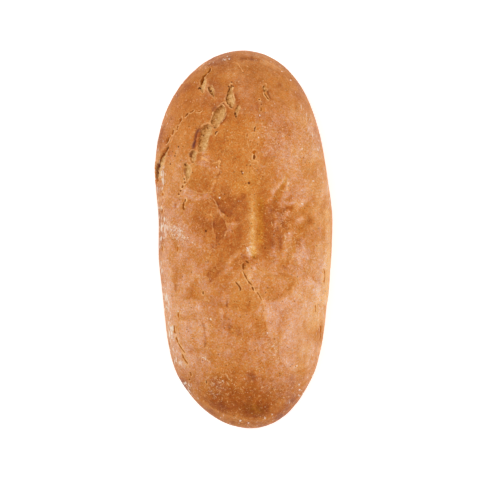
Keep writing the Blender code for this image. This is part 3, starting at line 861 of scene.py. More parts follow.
lines = {
    "brow": (((211.8, 196.4), (215, 202), (218.4, 208.2), (221.2, 211.8), (226.8, 216.6)), 1.3),
    "browFoot": (((218, 208.6), (215.8, 212.6), (213.4, 215), (208, 215.6)), 1.4),
    "darkScaleLeft": (((213.4, 214.8), (212.8, 219), (212.5, 226), (213.2, 231.4), (214.9, 236), (216, 243)),
        0.7),
    "darkScaleFoot": (((216.2, 244.8), (220.4, 243.4), (223, 240.6), (224.6, 236.6), (226.6, 231.6),
        (227.4, 227)), 1.1),
    "darkScaleRight": (((226.6, 216.8), (226.2, 221.4), (228.2, 224.2), (234, 222), (241, 221.6)), 0.5),
    "scaleTail": (((216, 243.4), (213.6, 247), (211.6, 250), (209.4, 254.6), (208, 262)), 0.8),
    "tearTail": (((215.5, 130), (213.3, 135), (211, 141), (208.5, 147)), 0.5),
    "headCrease": (((236.2, 61.2), (239.8, 66.6), (242.8, 71.2), (244.2, 74.4)), 1.3),
    "notchFoot": (((211, 283), (215, 281.5), (219, 279)), 0.8),
    "vertical": (((262.4, 300), (264.2, 305), (264.2, 311), (266.4, 323), (268, 335)), 1.1),
    "cheek": (((291, 310), (289, 317), (287, 326), (282, 335), (280, 345)), 0.4),
    "patchTop": (((181, 323.4), (186, 321.8), (192, 321), (199.6, 320.4)), 0.8),
    "orangeRight": (((296.6, 277), (296.4, 283.6), (291, 290), (284.4, 295.6)), 0.8),
    "orangeFoot": (((284, 296), (281, 299.8), (271, 301), (265.6, 298.4)), 0.8),
    "shortVertical": (((223, 309), (222.5, 316), (223.5, 323)), 0.5),
    "lowVertical": (((209, 362), (209.3, 368), (209, 373)), 0.6),
    "scratch": (((209.6, 316.6), (211.4, 319), (213.4, 321.6)), 1.4),
    "besideCrack": (((255, 283), (255.5, 287), (258, 291)), 0.8),
    "squiggleHigh": (((284.5, 106), (286, 110), (285, 114), (287, 118)), 0.5),
    "squiggleSide": (((294, 103), (293.5, 108), (295.5, 114)), 0.5),
    "headCurve": (((262, 59.4), (267, 62), (272, 64.6), (278.6, 69), (285, 76), (290.6, 83.4)), 0.6),
    "rimTail": (((203, 400), (212, 408), (225, 414.5), (240, 419), (258, 421), (269, 419)), 0.4),
    "flankHigh": (((181, 119), (177, 128), (173, 137), (169, 146)), 0.6),
    "flankLow": (((171, 300), (174, 312), (177, 324), (179, 336), (182, 345)), 0.6),
    "slitTop": (((186.5, 200), (186, 205), (185.3, 209)), 0.5),
    "tearRight": (((226.3, 106), (225.2, 112), (222.5, 118.5), (218.5, 124.5), (215, 129)), 1.2),
    "bridge": (((218.5, 105), (222, 103), (225.5, 103), (228, 106.5), (231.5, 109), (235, 108.5)), 1.1),
    "bridgeLow": (((200.5, 128), (203, 125), (206.5, 122.8), (210, 123), (212.5, 126), (215, 130)), 1.2),
    "bridgeFoot": (((191, 150), (194, 149.5), (197.5, 151.5), (199, 154)), 0.5),
    "scaleTop": (((201, 156.6), (206.6, 158.4), (209.4, 161.4), (212, 164.6)), 0.5),
    "scaleHigh": (((212, 164.4), (214.8, 162.4), (218.8, 160)), 0.6),
    "arcInner": (((181.5, 119), (178.5, 127), (174.5, 135), (170.5, 143)), 0.8),
    "squiggleLow": (((248.4, 163), (248.8, 166), (247.6, 169), (245.6, 170.8)), 0.8),
    "beforeBubble": (((255.3, 132.6), (255.2, 135.6), (253.4, 138.2), (251.4, 142.4)), 0.8),
    "besideBubble": (((247, 137.4), (247.3, 142), (248.7, 148.4)), 0.6),
    "bubbleFoot": (((250.4, 164.6), (252.8, 161.6), (255.4, 160.8), (257.8, 161.8), (258.2, 166),
        (257.4, 171)), 0.9),
    "bubbleLoop": (((251, 170.8), (253.2, 171), (254.4, 174.6)), 0.8),
    "bubbleSide": (((260.6, 172.6), (262.6, 171.6), (264, 173)), 0.8),
    "fibreHigh": (((262.4, 147.2), (264.2, 145.4), (266.2, 144.4)), 0.9),
    "flankStreakA": (((160, 190), (160.5, 200), (160, 212)), 0.5),
    "flankStreakB": (((166, 188), (167, 198), (166, 206)), 0.5),
    "flankStreakC": (((327, 215), (328.5, 235), (328, 262), (327, 290)), 0.4),
    "cheekStreakA": (((312.2, 131.6), (312.4, 134.6)), 0.8),
    "cheekStreakB": (((308.2, 134.4), (308.8, 137.4)), 0.9),
    "cheekStreakC": (((310.8, 139.6), (310.6, 143.4)), 0.9),
    "cheekStreakD": (((296.2, 139.2), (298, 141.2), (299.4, 144)), 0.9),
    "cheekStreakE": (((306.4, 131), (307.4, 133)), 0.6),
}

lineForm = {
    "reach": 4.5,
    "wander": (0.22, 3.0),  # as for folds
    "fade": (3, 0.1),  # at its ends the line is drawn as if this much farther away
}


def drawLine(number, marks, strength):
    # a pale line along a route, waving a little and fading at both ends
    near, share, side, right = follow(marks, lineForm["reach"])
    side = asSeen(side, right) + layered(points[near], [lineForm["wander"]], seeds["lines"] + number)
    farther, soft = lineForm["fade"]
    markBorder(near, np.abs(side) + farther * (1 - ends(share, soft)), strength)


for number, line in enumerate(lines.values()):
    drawLine(number, *line)
print("lines drawn", len(lines))

# soft strokes, dark and light: from x, y to x, y and half width in pixels, then baking, blush, gold and
# height in hundredths (of a millimetre), where zeros at the end are left out

strokes = {
    "head": (
        (200, 72, 262, 68, 17, -7, 24, 5), (192, 92, 186, 112, 11, -7, 7), (206, 62, 222, 56, 5, 4, 42),
        (241, 58.8, 252, 58.4, 1.1, -20, -20, 0, -20), (252, 58.4, 260, 60.6, 1.1, -20, -20, 0, -20),
        (266, 62, 280, 71, 3.4, 12, 10, 0, 10), (220, 88, 216, 112, 9, -6, 35),
        (212, 84, 204, 100, 7, -3, 35), (247, 86, 250, 112, 10, -3, 7),
        (269, 90, 271, 99, 2, -10, 21, 0, -20), (230, 120, 218, 150, 8, -7, -21, 10),
        (252, 118, 256, 128, 8, 0, -14, 5), (236, 140, 240, 168, 13, 0, -35, 10),
        (222, 168, 226, 188, 6, -8, -14), (258, 132, 268, 150, 7, 3, 7),
    ),
    # the darker strokes along the left of the great tear and the right of the upper one are painted shadow of
    # the folded crust
    "tearsFold": (
        (199, 130, 196.6, 136, 1.8, -22, 10, 0, -30), (196.6, 136, 194.4, 148, 1.8, -22, 10, 0, -30),
        (224.8, 118, 220.5, 123.5, 1.1, -30, 10, 0, -10), (216, 131, 214, 138, 1.2, 12, 8, 5, 26),
        (190, 120, 183, 140, 9, 1, -17, 0, 65), (210, 133, 206, 152, 3, 9, 0, 5, 39),
        (204, 154, 212, 160, 4, 15, 34, 0, 26),
    ),
    "leftFlank": (
        (170, 120, 165, 134, 6, -3, 21, -5), (162.6, 147, 158.5, 158, 2.2, 16, 10),
        (171, 152, 176, 178, 8, 8, 14), (172, 182, 170, 212, 9, 3, 7), (159, 188, 158, 245, 5, 10, 35),
        (168, 215, 166, 245, 3, 8, 49), (176, 228, 186, 240, 6, 8, 40),
        (173, 232, 175, 248, 1.6, -9, -28, 10), (196, 218, 206, 222, 6, -14, -7, 0, -30),
        (205, 236, 212, 246, 6, -4, 14), (193, 243, 203, 247, 6, 6, 28, 0, 20),
        (177, 264, 180, 272, 6, -7, -14), (183, 278, 184, 288, 5, 8, 21, 0, 20),
        (195, 262, 194, 274, 5, 7, 28, 0, 20), (204, 268, 206, 276, 3, -3, 7),
        (203, 283, 209, 288, 4, 4, 14), (175, 278, 175.5, 292, 1.6, -14, -21, 0, -20),
        (162, 262, 167, 330, 6, 13, 21), (188, 315, 176, 318, 3, -4, -14), (175, 350, 172, 335, 7, 7, 35),
        (196, 356, 204, 362, 6, 11, 42), (186, 372, 198, 378, 8, 2, 35),
    ),
    "middle": (
        (227, 221, 231, 222, 1.2, -15), (232.5, 199, 239, 195.5, 2.4, 13),
        (233, 224, 241.5, 223, 1.2, 20, 30), (208, 220, 208.5, 225, 1.8, 15, 10),
        (205, 194.5, 212, 199, 1.8, 14, 35), (245.3, 245.5, 247.4, 246, 1.4, -20, -30),
        (264, 298, 264, 306, 1.6, 18, 20), (254.6, 269, 255.4, 273, 1.5, 18, 20),
        (216.6, 147, 217.4, 151, 1.4, 14), (258.6, 139.6, 259.4, 142.4, 1.2, 16, 10),
        (214, 99.5, 216, 102.5, 1.8, 14), (163.6, 207, 165.4, 212, 1.5, 20, 40),
        (274.5, 355, 275.4, 359, 1.3, 14, 30), (253, 389.5, 255, 390.5, 2, -15),
        (218.6, 211.6, 221.6, 215.6, 1.9, 16, 50), (211, 206, 213, 213, 3, -8, -20, 0, 20),
        (219, 203, 226, 210, 4, -8, 10, 0, -20), (237, 207, 242, 199, 1, 12),
        (222, 186, 224, 190, 5, -10, 0, 0, -20), (237, 186, 246, 190, 5, 3, -21, 30),
        (250, 176, 256, 186, 7, 1, -28, 25), (230, 226, 231, 234, 4, 8, 35, 0, 10),
        (234, 236, 238, 246, 7, -13, 0, 0, -30), (242, 204, 243, 228, 6, -10, 0, 0, -20),
        (218, 246, 220, 252, 2.4, 9, 28, 0, 10), (239, 253, 230, 261, 1.9, 19, 42, 0, 30),
        (230, 261, 226, 272, 1.9, 15, 42, 0, 30), (222, 256, 216, 268, 7, -10, -14),
        (243, 274, 238, 280, 5, 10, -7, 15, 30), (248, 268, 249, 279, 2.6, 24, 21, 5, 40),
        (228, 283, 234, 292, 6, 1, 0, 15, 10), (217, 292, 215, 306, 5, -3, 14, -10),
        (221.6, 310, 222, 321, 1.5, 17, 28, 0, 10), (244, 330, 250, 344, 11, -6, -14),
        (230, 326, 226, 333, 4, -6, 28), (232, 345, 228, 362, 7, 1, 14), (256, 349, 262, 354, 6, 6, 28),
        (258, 326, 256, 333, 4, -10, -28, 5), (268, 272, 257, 268, 7, 10, 14, 0, 20),
    ),
    # the darker strokes right of the ridge are partly browner crust, partly painted shade on its side turned
    # from the light
    "ridgeSides": (
        (262, 198, 262, 236, 4.5, -25, -21, -5, -70), (268, 206, 268, 244, 4, -18, 7, -10, -40),
        (275, 222, 273, 246, 4, -18, 21, -15, -30), (281, 236, 280, 248, 2.4, -14, 21, -10, -20),
        (262, 245, 265, 254, 4, -14, -21, 0, -20), (248.4, 247.4, 249, 255, 2.4, 36, 60, 5, 10),
        (247, 202, 247, 244, 3, 7, 10), (254, 251, 254, 256, 2.2, -10, -14, 50),
        (254, 257.5, 256, 258.5, 1.6, -32, -21, 45, -30), (243, 257, 249, 259, 2, -19, 35),
    ),
    # darker strokes in the hollows and paler ones on the crests: partly the crust's own tone, partly painted
    # shade and light on the wrinkles
    "wrinkles": (
        (284.6, 177.5, 279, 186, 1.2, 28, 60, -5, 60), (279, 186, 273.8, 192, 1.2, 24, 60, 0, 60),
        (272.5, 192, 271, 199, 1.8, 15, 50, 0, 40), (268.5, 199, 266, 203, 1.2, 20, 50, 0, 40),
        (286, 178, 282, 187, 1.8, -2, -50, 45, -40), (282, 188, 277, 197, 2, -6, -50, 40, -60),
        (288.2, 183, 287.2, 190, 0.9, 50, -10, 30, 50), (278, 199, 274, 208, 2.4, -16, -20, 20, -70),
        (284, 194.5, 289, 193.5, 1.5, 18, 60, 0, 40), (283, 197.5, 287, 196.5, 1.2, 14, 60, 0, 30),
        (290.3, 196, 290.2, 200.4, 0.8, -20, -30, 10, -30), (285, 203, 292, 203.6, 1.5, 20, 60, 0, 40),
        (282.5, 206, 284, 208, 1.2, 16, 50, 0, 20), (284, 208.8, 291, 207.8, 1.1, -17, -25, 5, -40),
        (292.6, 205.6, 292.6, 208, 0.9, -20, -50, 30, -20), (288.6, 211.4, 287.6, 214, 1.2, 24, 50, 0, 40),
        (286, 214, 283.5, 219, 1.6, 18, 50, 0, 40), (276, 212.5, 279, 214, 1.6, 12, 50, -5, 20),
        (275.4, 215, 276, 217.5, 0.9, 15, 40), (302.4, 201.6, 301.6, 205.4, 1.1, 16, 30, 0, 30),
        (308.5, 203.5, 303, 209.5, 2.1, -15, -30, 20, -70), (303, 209.5, 297, 213.5, 1.9, -14, -30, 25, -60),
        (297, 203, 295.5, 212, 2.4, 8, -20, 5, 50), (315, 209, 309, 213.5, 1.7, 5, 0, 0, 40),
        (306, 216.5, 300, 219.5, 1.5, 10, 30, 0, 40), (300, 219.5, 294, 224, 1.7, 12, 45, 0, 40),
        (309.5, 214.5, 309, 221, 1.4, -18, -10, 10, -60), (308, 221, 301, 228, 2.6, -10, -30, 25, -50),
        (301, 228, 297, 238, 3, -7, -35, 25, -40), (281.6, 219.6, 283, 225.6, 1.1, -30, -10, 0, -50),
        (284, 222.5, 292, 221, 1.7, -16, -40, 20, -30), (284, 227, 288, 228.5, 1.2, -14, -30, 20, -20),
        (276, 221.5, 276, 226, 1.3, 28, 70, -10, 20), (279.5, 217, 280.5, 226, 1.9, 10, 50, -10, 10),
        (277, 226.5, 277, 228.5, 0.9, -20, 10, 0, -20), (289.4, 231.4, 289, 239.4, 1.7, 20, 55, 0, 40),
        (285.5, 233, 287, 237, 1.4, 12, 40, 0, 20), (285, 241, 285, 245, 1.6, 12, 30, 0, 10),
        (297.2, 239.6, 297.6, 245.6, 1.1, -22, -20, 5, -40), (301, 239, 304, 241, 1.4, -12, 20, -10, -20),
        (302.5, 242.5, 302.5, 247, 1.6, 18, 60, -5, 40), (300, 249, 306, 256, 3, 10, 45, 0, 20),
        (297, 258, 300, 264, 2, 14, 45, 0, 30), (280.4, 239, 280.6, 248, 1.6, -20, 10, -5, -30),
        (271.5, 240, 273, 247, 2.2, -10, 30, -15, -20), (294.6, 240, 294, 249, 1.7, -8, -50, 35, -20),
        (292, 251, 296, 251.6, 1.3, -6, -50, 40, -10), (293, 255, 293.4, 258.4, 1.2, 24, 20, 10, 10),
        (288.5, 254, 288, 263, 1.5, -16, -35, 15, -30), (296.5, 262, 298, 267.5, 1.6, -10, -40, 30, -20),
        (274, 247.5, 274.6, 254, 1.4, 16, 40, 0, 10), (284, 253.5, 286, 257.5, 1.8, 13, 40, 0, 10),
        (291, 260, 290.5, 264, 1.2, 14, 40), (284.6, 267.4, 286, 268, 0.9, -20, 10, 0, -20),
        (318, 206, 312, 216, 2.6, 10, 0, 5, 30), (325, 203, 325.5, 209, 1.2, -20, -34, 0, -20),
        (300, 196, 306, 190, 5, 5, 42, 0, 20), (313, 228, 317, 250, 6, -5, -30),
        (284, 271, 286, 276, 2.6, -5, -10, 0, -10), (292, 270, 294, 275, 2, -9, -10),
        (261.5, 200, 261.5, 245, 3.2, 0, -35, 30), (268, 206, 269, 222, 3, 3, 30, -10),
        (266, 228, 268, 246, 4, 8, -35, 10), (306, 212, 318, 206, 4, -14, -40),
        (305, 225, 316, 228, 4, 8, 5), (299, 244, 301, 245, 3, -15), (307, 251, 309, 254, 3, 10, 15),
        (284, 268, 296, 274, 5, 6, 15), (274, 250, 276, 274, 4, 2, 35), (291, 203, 292, 213, 3.5, -12),
        (275, 211, 279, 214, 3.5, -10), (308, 194, 308, 198, 4, 8, 25), (319, 182, 322, 224, 5, -2, -30),
        (282, 203, 286, 205, 3, 0, 40), (294, 194, 300, 195, 4, -4, -15), (283.5, 211, 287, 207.5, 1.2, -12),
        (303.5, 213, 297, 217.5, 1.3, -14, -10, 0, -20), (314, 217, 319, 213, 1.6, -12),
        (299.5, 277, 300.5, 281, 1.5, 16, 20),
    ),
    "rightFlank": (
        (300, 120, 312, 180, 14, 9, -7), (278, 135, 288, 165, 10, 6, 28),
        (327.5, 212, 328, 262, 2.2, 22, -21, 10, 50), (328, 262, 326, 300, 2.2, 20, -21, 10, 50),
        (323.5, 232, 324, 262, 1, -7, -21, 0, -30), (320, 246, 321, 300, 2.2, 14, -21, 5, 30),
        (306, 300, 306, 345, 12, 10, 7), (316, 300, 315, 330, 4, 4, -28, 5),
        (318, 333, 317, 338, 2.2, -17, -42), (296, 352, 290, 362, 9, 6, 28),
        (314, 350, 306, 368, 6, 6, -14, 5), (291.5, 378, 291, 382, 3, -20, 56, -10),
        (306, 372, 302, 380, 5, -4),
    ),
    "tail": (
        (230, 390, 262, 394, 13, -12, 0, -5), (214, 402, 260, 412, 9, -14, -7, -5),
        (232, 404, 247, 409, 5, -18, 21, -10), (247, 412, 261, 414, 4, -20, -28),
        (261, 405, 267, 408, 3, -14, 7, -5), (266, 396, 271, 400, 4, -13),
        (202, 394, 211, 396, 4.5, -14, 0, -5), (219, 396, 226, 409, 4, -17, 28, -10),
        (212, 403, 217, 407, 3, -10, -28, 5), (213, 384, 221, 389, 5, 5, 50, -10),
        (251, 374, 254, 378, 3.4, -24, 21, -5), (293, 401, 279, 417, 4, -17, 49, -15),
        (279, 417, 262, 425, 3, -10, 21, -10), (262, 386, 273, 384, 6, 1, 28),
        (283, 388, 292, 396, 8, -4, 28, -5), (236, 365, 244, 382, 7, -6, -21),
        (248, 392, 250, 396, 3, -8, 21), (222, 380, 226, 384, 3, 4, -14, 10),
        (203, 401, 222, 415, 1.3, 14, -14, 5, 20), (222, 415, 246, 420, 1.3, 14, -14, 5, 20),
        (246, 420, 268, 419, 1.3, 10, -14, 5, 10), (232, 422, 262, 425, 2.5, -9, 7),
    ),
    # fainter shades of light and dark all over the crust
    "shades": (
        (214, 60, 226, 58, 7, -24, -10), (182, 80, 176, 92, 6, -12, -10), (196, 76, 186, 110, 10, -5, -30),
        (226, 70, 246, 86, 12, -4, -25), (222, 84, 206, 112, 7, -6, -30), (240, 110, 240, 140, 9, -8),
        (262, 85, 300, 90, 12, -8), (280, 110, 280, 135, 10, -9, 5), (162, 130, 158, 150, 4, -14, -20),
        (157, 185, 158, 290, 4, -10), (178, 205, 178, 214, 6, 6, 30), (180, 232, 181, 262, 8, 2, 30),
        (200, 184, 200, 190, 7, -9), (220, 183, 220, 190, 6, 13), (240, 160, 240, 175, 8, -5, -25),
        (260, 183, 261, 190, 5, -7, -35), (260, 205, 260, 238, 4, 4, -50, 5), (280, 208, 281, 212, 5, -10),
        (300, 205, 300, 214, 6, 16, 10), (322, 185, 321, 300, 7, 15, 50), (200, 232, 200, 238, 5, -10),
        (240, 235, 238, 240, 6, 6, -40), (220, 258, 242, 262, 8, -8, -20), (300, 256, 300, 264, 6, 6, 40),
        (260, 282, 280, 288, 8, 10, 20), (180, 300, 180, 340, 7, 10, 50), (200, 305, 200, 312, 6, 12, 20),
        (220, 306, 220, 314, 6, -10, 10), (300, 330, 320, 336, 7, -8, -10), (178, 352, 182, 362, 6, 12, 50),
        (180, 384, 186, 392, 5, -18), (220, 382, 222, 390, 7, -10, -20), (262, 382, 262, 388, 7, 10),
        (258, 408, 262, 414, 6, 0, -50), (280, 408, 284, 414, 6, -8, -40), (220, 400, 250, 408, 12, 0, -45),
        (210, 390, 214, 396, 6, 0, -30), (243, 205, 240, 232, 8, 0, -30),
        (262, 205, 261, 240, 6, 0, -50, 15), (272, 130, 300, 150, 14, 2, 30),
        (302, 190, 318, 235, 12, 0, 25), (300, 245, 316, 268, 9, 5, 30), (284, 318, 304, 352, 14, 2, 35),
        (298, 288, 312, 300, 9, 3, 30), (300, 94, 313, 128, 6, 6, 25), (313, 128, 323, 170, 6, 7, 35),
        (325, 172, 328, 205, 5, 4, 20), (328, 250, 326, 300, 5, 12, 10), (325, 300, 320, 345, 4, 15, 20),
        (317, 352, 306, 384, 4, 8, 30), (163, 255, 166, 300, 5, 2, 30), (168, 300, 176, 345, 5, 2, 25),
        (163, 205, 162, 245, 5, -10), (224, 62, 262, 64, 9, 3, 30), (240, 82, 246, 92, 9, 2, 35),
        (200, 84, 202, 92, 6, 10), (180, 84, 177, 92, 5, -4), (222, 108, 240, 114, 7, -7),
        (262, 132, 264, 140, 7, -8), (180, 158, 180, 166, 6, -6), (260, 180, 262, 190, 6, -8, -20),
        (300, 182, 298, 190, 6, 2, 30), (200, 206, 200, 214, 6, -7), (220, 232, 220, 240, 6, -9, -10),
        (282, 258, 282, 264, 5, -8), (182, 283, 202, 287, 6, 2, 20), (282, 284, 280, 312, 6, 5, 25),
        (222, 332, 262, 338, 7, 2, 20), (200, 357, 202, 363, 5, -6), (181, 383, 184, 389, 5, -10),
        (282, 358, 284, 364, 6, 4, 15), (214, 398, 262, 410, 10, 2, -50, 35),
        (222, 60, 264, 64, 9, -6, 15, 35), (200, 82, 198, 90, 6, 8, 5), (220, 108, 222, 114, 6, -7),
        (161, 132, 159, 146, 5, -10), (200, 132, 188, 140, 6, -5, -15), (280, 130, 281, 140, 7, -5, -15),
        (319, 128, 322, 146, 5, -6, 10), (240, 158, 240, 168, 7, 0, -20), (262, 156, 261, 168, 6, 0, 30),
        (162, 158, 161, 176, 5, 0, -30), (221, 182, 220, 190, 6, 6), (157, 190, 159, 292, 5, -12, 5),
        (179, 256, 181, 290, 6, 5, 30), (256, 258, 262, 266, 5, 7, 20), (318, 252, 321, 268, 5, 6),
        (258, 284, 262, 290, 6, 3, 15), (299, 280, 301, 296, 6, -6, -30), (299, 304, 300, 318, 7, -11),
        (258, 308, 260, 314, 5, 6, 10), (278, 334, 281, 340, 6, -5), (300, 326, 301, 345, 7, -6, -30),
        (319, 330, 318, 342, 4, -10), (260, 330, 261, 342, 6, 3, 20), (299, 356, 300, 368, 7, -7, -40),
        (259, 358, 261, 364, 6, -6, 10), (220, 357, 220, 365, 6, 7), (199, 383, 202, 389, 6, 6),
        (278, 408, 282, 414, 6, -5, 5), (254, 408, 266, 413, 6, 0, -30, 10),
        # the first stroke on the next line is painted shadow beside the crack at the ridge's foot
        (245.5, 265, 246.5, 273, 1.8, -14, -10, 0, -30), (204, 78, 282, 84, 16, 0, 8, 32),
        (216, 62, 224, 60, 5, 0, 20, -20), (166, 252, 170, 298, 3.5, 8, 12),
        (262, 104, 284, 112, 9, 0, 15, 15), (276, 156, 284, 164, 7, 0, 15, 10), (212, 376, 216, 381, 4, -13),
        (214, 386, 222, 388, 4, 3, 40), (205, 394, 218, 397, 3, 8), (226, 398, 229, 404, 3.5, 15),
        (240, 377, 246, 380, 4, 4, 40), (232, 393, 258, 395, 4, -8), (250, 402, 253, 412, 4, -6, -40, 20),
        (264, 380, 268, 382, 4, -10), (208, 412, 222, 414, 3, -10), (262, 202, 262, 236, 5, -3, -20),
        (219, 161, 219.4, 169, 0.7, 14, 10), (219, 169, 216.5, 177, 0.6, 10),
        (216.2, 178, 213.4, 184, 0.8, 22, 20, 0, 20), (213.4, 184, 210.6, 193, 0.7, 16, 10, 0, 10),
        (322, 205, 325, 248, 3, -6, -15), (178, 300, 183, 345, 4, 0, -30), (172, 255, 174, 298, 3, 0, -25),
        (276, 226, 282, 244, 6, 7, 5), (219, 229, 221, 240, 5, 5, 0, 10), (299, 206, 301, 216, 5, 6, 15),
        (198, 281, 203, 291, 5, 5, 8), (178, 280, 182, 290, 5, 0, -15), (318, 304, 321, 316, 4, 6, 15),
        (317, 330, 321, 341, 4, -6, -15), (177, 330, 182, 341, 5, 0, -30), (220, 331, 220, 340, 6, 5, 10),
        (183, 380, 187, 390, 5, -12), (219, 382, 222, 389, 5, 3, 12), (258, 405, 264, 412, 5, 0, -35, 15),
        (238, 357, 243, 364, 6, 0, 12), (299, 357, 301, 363, 6, 5), (216, 106, 222, 112, 5, -5),
        (278, 106, 282, 114, 6, -6), (258, 106, 262, 114, 6, 0, 20), (198, 81, 203, 88, 5, 5),
        (218, 131, 222, 139, 5, -2, -25), (258, 157, 262, 165, 5, 5, 8), (238, 157, 241, 187, 5, -2, -20),
        (259, 316, 261, 334, 3.5, -4, -20, 10), (269.5, 307, 272, 334, 3.5, 6, 20),
        (190, 326, 193, 341, 7, 7, 15), (271, 240, 280, 247, 4, 7, -10), (298, 82, 303, 90, 4, -8),
        (195, 80, 197, 85, 3.5, -16, -5), (211, 80, 213, 84, 3.5, -16, -10), (186, 88, 198, 92, 4, -7, -15),
        (236, 95, 237.5, 102, 2.5, -18, -10), (248, 94, 240, 104, 5, 4, 20), (203, 96, 206, 100, 3, -5, -15),
        (218, 112, 222, 114, 3, -7), (235, 120, 237, 124, 3.5, 4, 20), (276, 122, 296, 126, 7, 3, 22),
        (212, 134, 210, 147, 3, -10, -15), (306, 138, 318, 144, 6, 3, 25), (188, 143, 187, 149, 3, -10, -10),
        (267, 144, 269, 148, 3, 4, 20), (203, 153, 213, 162, 4.5, -7, -22),
        (210, 168, 213, 172, 3.5, 10, 20), (220, 168, 226, 178, 4.5, 9, 8), (268, 162, 275, 170, 5, -7, -10),
        (179, 193, 181, 196, 3, 10, 15), (208, 193, 212, 195, 3, 8), (217, 191, 222, 194, 3, -6, -25),
        (233, 191, 238, 195, 3, 14, 10), (258, 190, 262, 196, 3.5, 12), (260, 200, 260, 240, 3, 4, -20, 45),
        (266, 199, 268, 212, 3.5, 7, 10), (235, 216, 237, 221, 4, -16, -10),
        (305, 217, 310, 221, 3.5, -13, -40), (273, 223, 282, 227, 4, -12, -15),
        (188, 208, 189, 236, 4, 3, 30), (209, 224, 211, 236, 3, -8, -25), (228, 231, 234, 240, 4, 7, 15),
        (186, 241, 189, 249, 3.5, -6, -20), (228, 249, 230, 252, 3, -12),
        (267, 249, 270, 258, 3.5, -11, -10), (236, 256, 237, 260, 3, -8), (196, 264, 197, 270, 4, 3, 35),
        (210, 264, 213, 276, 3, 11), (226, 265, 236, 272, 4, 6, 12), (170, 271, 171, 283, 3.5, 9, 15),
        (250, 271, 252, 290, 3, 8, 5), (282, 271, 286, 276, 3.5, 9, 8), (298, 270, 308, 282, 4, 2, 20),
        (266, 282, 292, 283, 4, 0, 15), (171, 287, 172, 291, 3, 8, 35), (178, 289, 186, 298, 3, -3, -20),
        (195, 288, 197, 293, 3, 8, 8), (291, 289, 308, 291, 4, -10, -25), (240, 289, 246, 292, 3.5, 8),
        (219, 298, 238, 299, 4, 9, 20), (259, 297, 270, 298, 4, 14, 25), (283, 297, 292, 298, 3.5, -9, -10),
        (312, 299, 323, 305, 4, -7, -28), (227, 304, 229, 308, 3, 11, 8), (259, 304, 261, 309, 3, 13, 22),
        (170, 312, 205, 314, 4, 8, 20), (240, 313, 244, 316, 3.5, 10, 8), (203, 321, 206, 324, 3, 10, 12),
        (214, 321, 236, 323, 5, 3, 15), (266, 320, 267, 325, 3, 8, 18), (299, 321, 300, 325, 3, 6, 20),
        (171, 328, 172, 332, 3, -3, -25), (202, 330, 210, 339, 3.5, 6, 12), (219, 328, 230, 330, 3.5, -9),
        (234, 329, 238, 331, 3, -4, -20), (250, 328, 253, 340, 4, 5, 15), (266, 345, 275, 346, 4, 8, 15),
        (300, 344, 308, 347, 4, -5, -25), (200, 345, 204, 347, 3, 1, 15), (211, 345, 213, 347, 3, -10),
        (186, 352, 190, 356, 4, 9, 25), (218, 353, 220, 356, 3, 8, 5), (250, 353, 252, 356, 3, 4, 25),
        (291, 353, 308, 355, 5, -7, -30), (203, 361, 205, 364, 3, 3, 25), (195, 370, 204, 378, 4, 2, 20),
        (187, 376, 188, 380, 3, 8), (218, 377, 228, 379, 4, -7, -15), (251, 377, 253, 380, 3, -10, -10),
        (275, 377, 284, 379, 4, 10, 15), (211, 385, 213, 388, 3, -10), (251, 400, 253, 404, 3, -5, -30),
        (243, 408, 259, 410, 4.5, 4, -50, 50), (218, 285, 240, 350, 14, 0, 10),
        (184, 263, 188, 276, 3.5, -2, -30), (265, 271, 275, 273, 3.5, -8, -25),
        (233, 296, 252, 296, 3.5, 4, 20), (177, 334, 178, 346, 3, 6, 30), (233, 327, 236, 336, 3.5, -3, -35),
        (273, 335, 275, 338, 3, -6, -40), (184, 351, 188, 361, 3.5, 8, 30),
        (257, 406, 267, 406, 3.5, -12, -5), (289, 375, 297, 376, 3.5, 10, 15),
        (209, 224, 219, 224, 3.5, -11, -15), (302, 184, 310, 194, 4, -2, -30),
        (199, 200, 205, 200, 3, 9, 20), (212, 168, 226, 169, 4, 5, 30),
        (215, 180.5, 211.4, 191, 0.9, 16, 20, 10, 20), (219.5, 172, 216, 179.4, 0.8, -15, -20, 10, -30),
        (184, 188, 199, 193.4, 0.8, 12, 10, 0, 20), (199, 193.4, 208, 192.6, 0.8, 12, 10, 0, 20),
        (224, 218, 228, 225, 2.2, -10, -20), (180, 90, 192, 80, 4, 6, -10, 15),
        (262.4, 306, 265.4, 336, 1.8, -8, -15, 10), (267.6, 304, 270, 330, 1.8, 5, 12),
        (204, 70, 212, 72, 5, 2, 15, 15), (228, 70, 240, 68, 5, 2, 22), (238, 80, 252, 80, 4, 4, 22),
        (222, 404, 262, 410, 9, -3, 0, -35), (180, 370, 212, 408, 6, -1, 5, -25),
    ),
    # the broadest differences: which end and side is the paler
    "broad": (
        (306, 290, 304, 345, 24, 8), (302, 150, 312, 200, 22, 4), (225, 210, 270, 235, 26, -9, 0, -5),
        (164, 200, 166, 320, 16, 6, 7), (215, 85, 240, 80, 34, -3, 7), (215, 398, 275, 400, 20, -8, 7),
        (232, 150, 245, 180, 26, 0, -14, 12), (188, 172, 192, 180, 10, 2, 0, 20),
        (290, 360, 240, 380, 24, 0, 7, -10), (322, 150, 322, 330, 10, 3, -28),
    ),
}

strokeForm = {
    "raggedWidth": 5,  # strokes at least this wide have the full raggedness of a patch
    "spread": 1.25,  # in half widths
}


def alongStroke(places, start, end):
    # the distance from the straight line between start and end
    along = end - start
    t = np.clip((places - start) @ along / (along @ along), 0, 1)
    return np.linalg.norm(places - start - t[:, None] * along, axis=1)


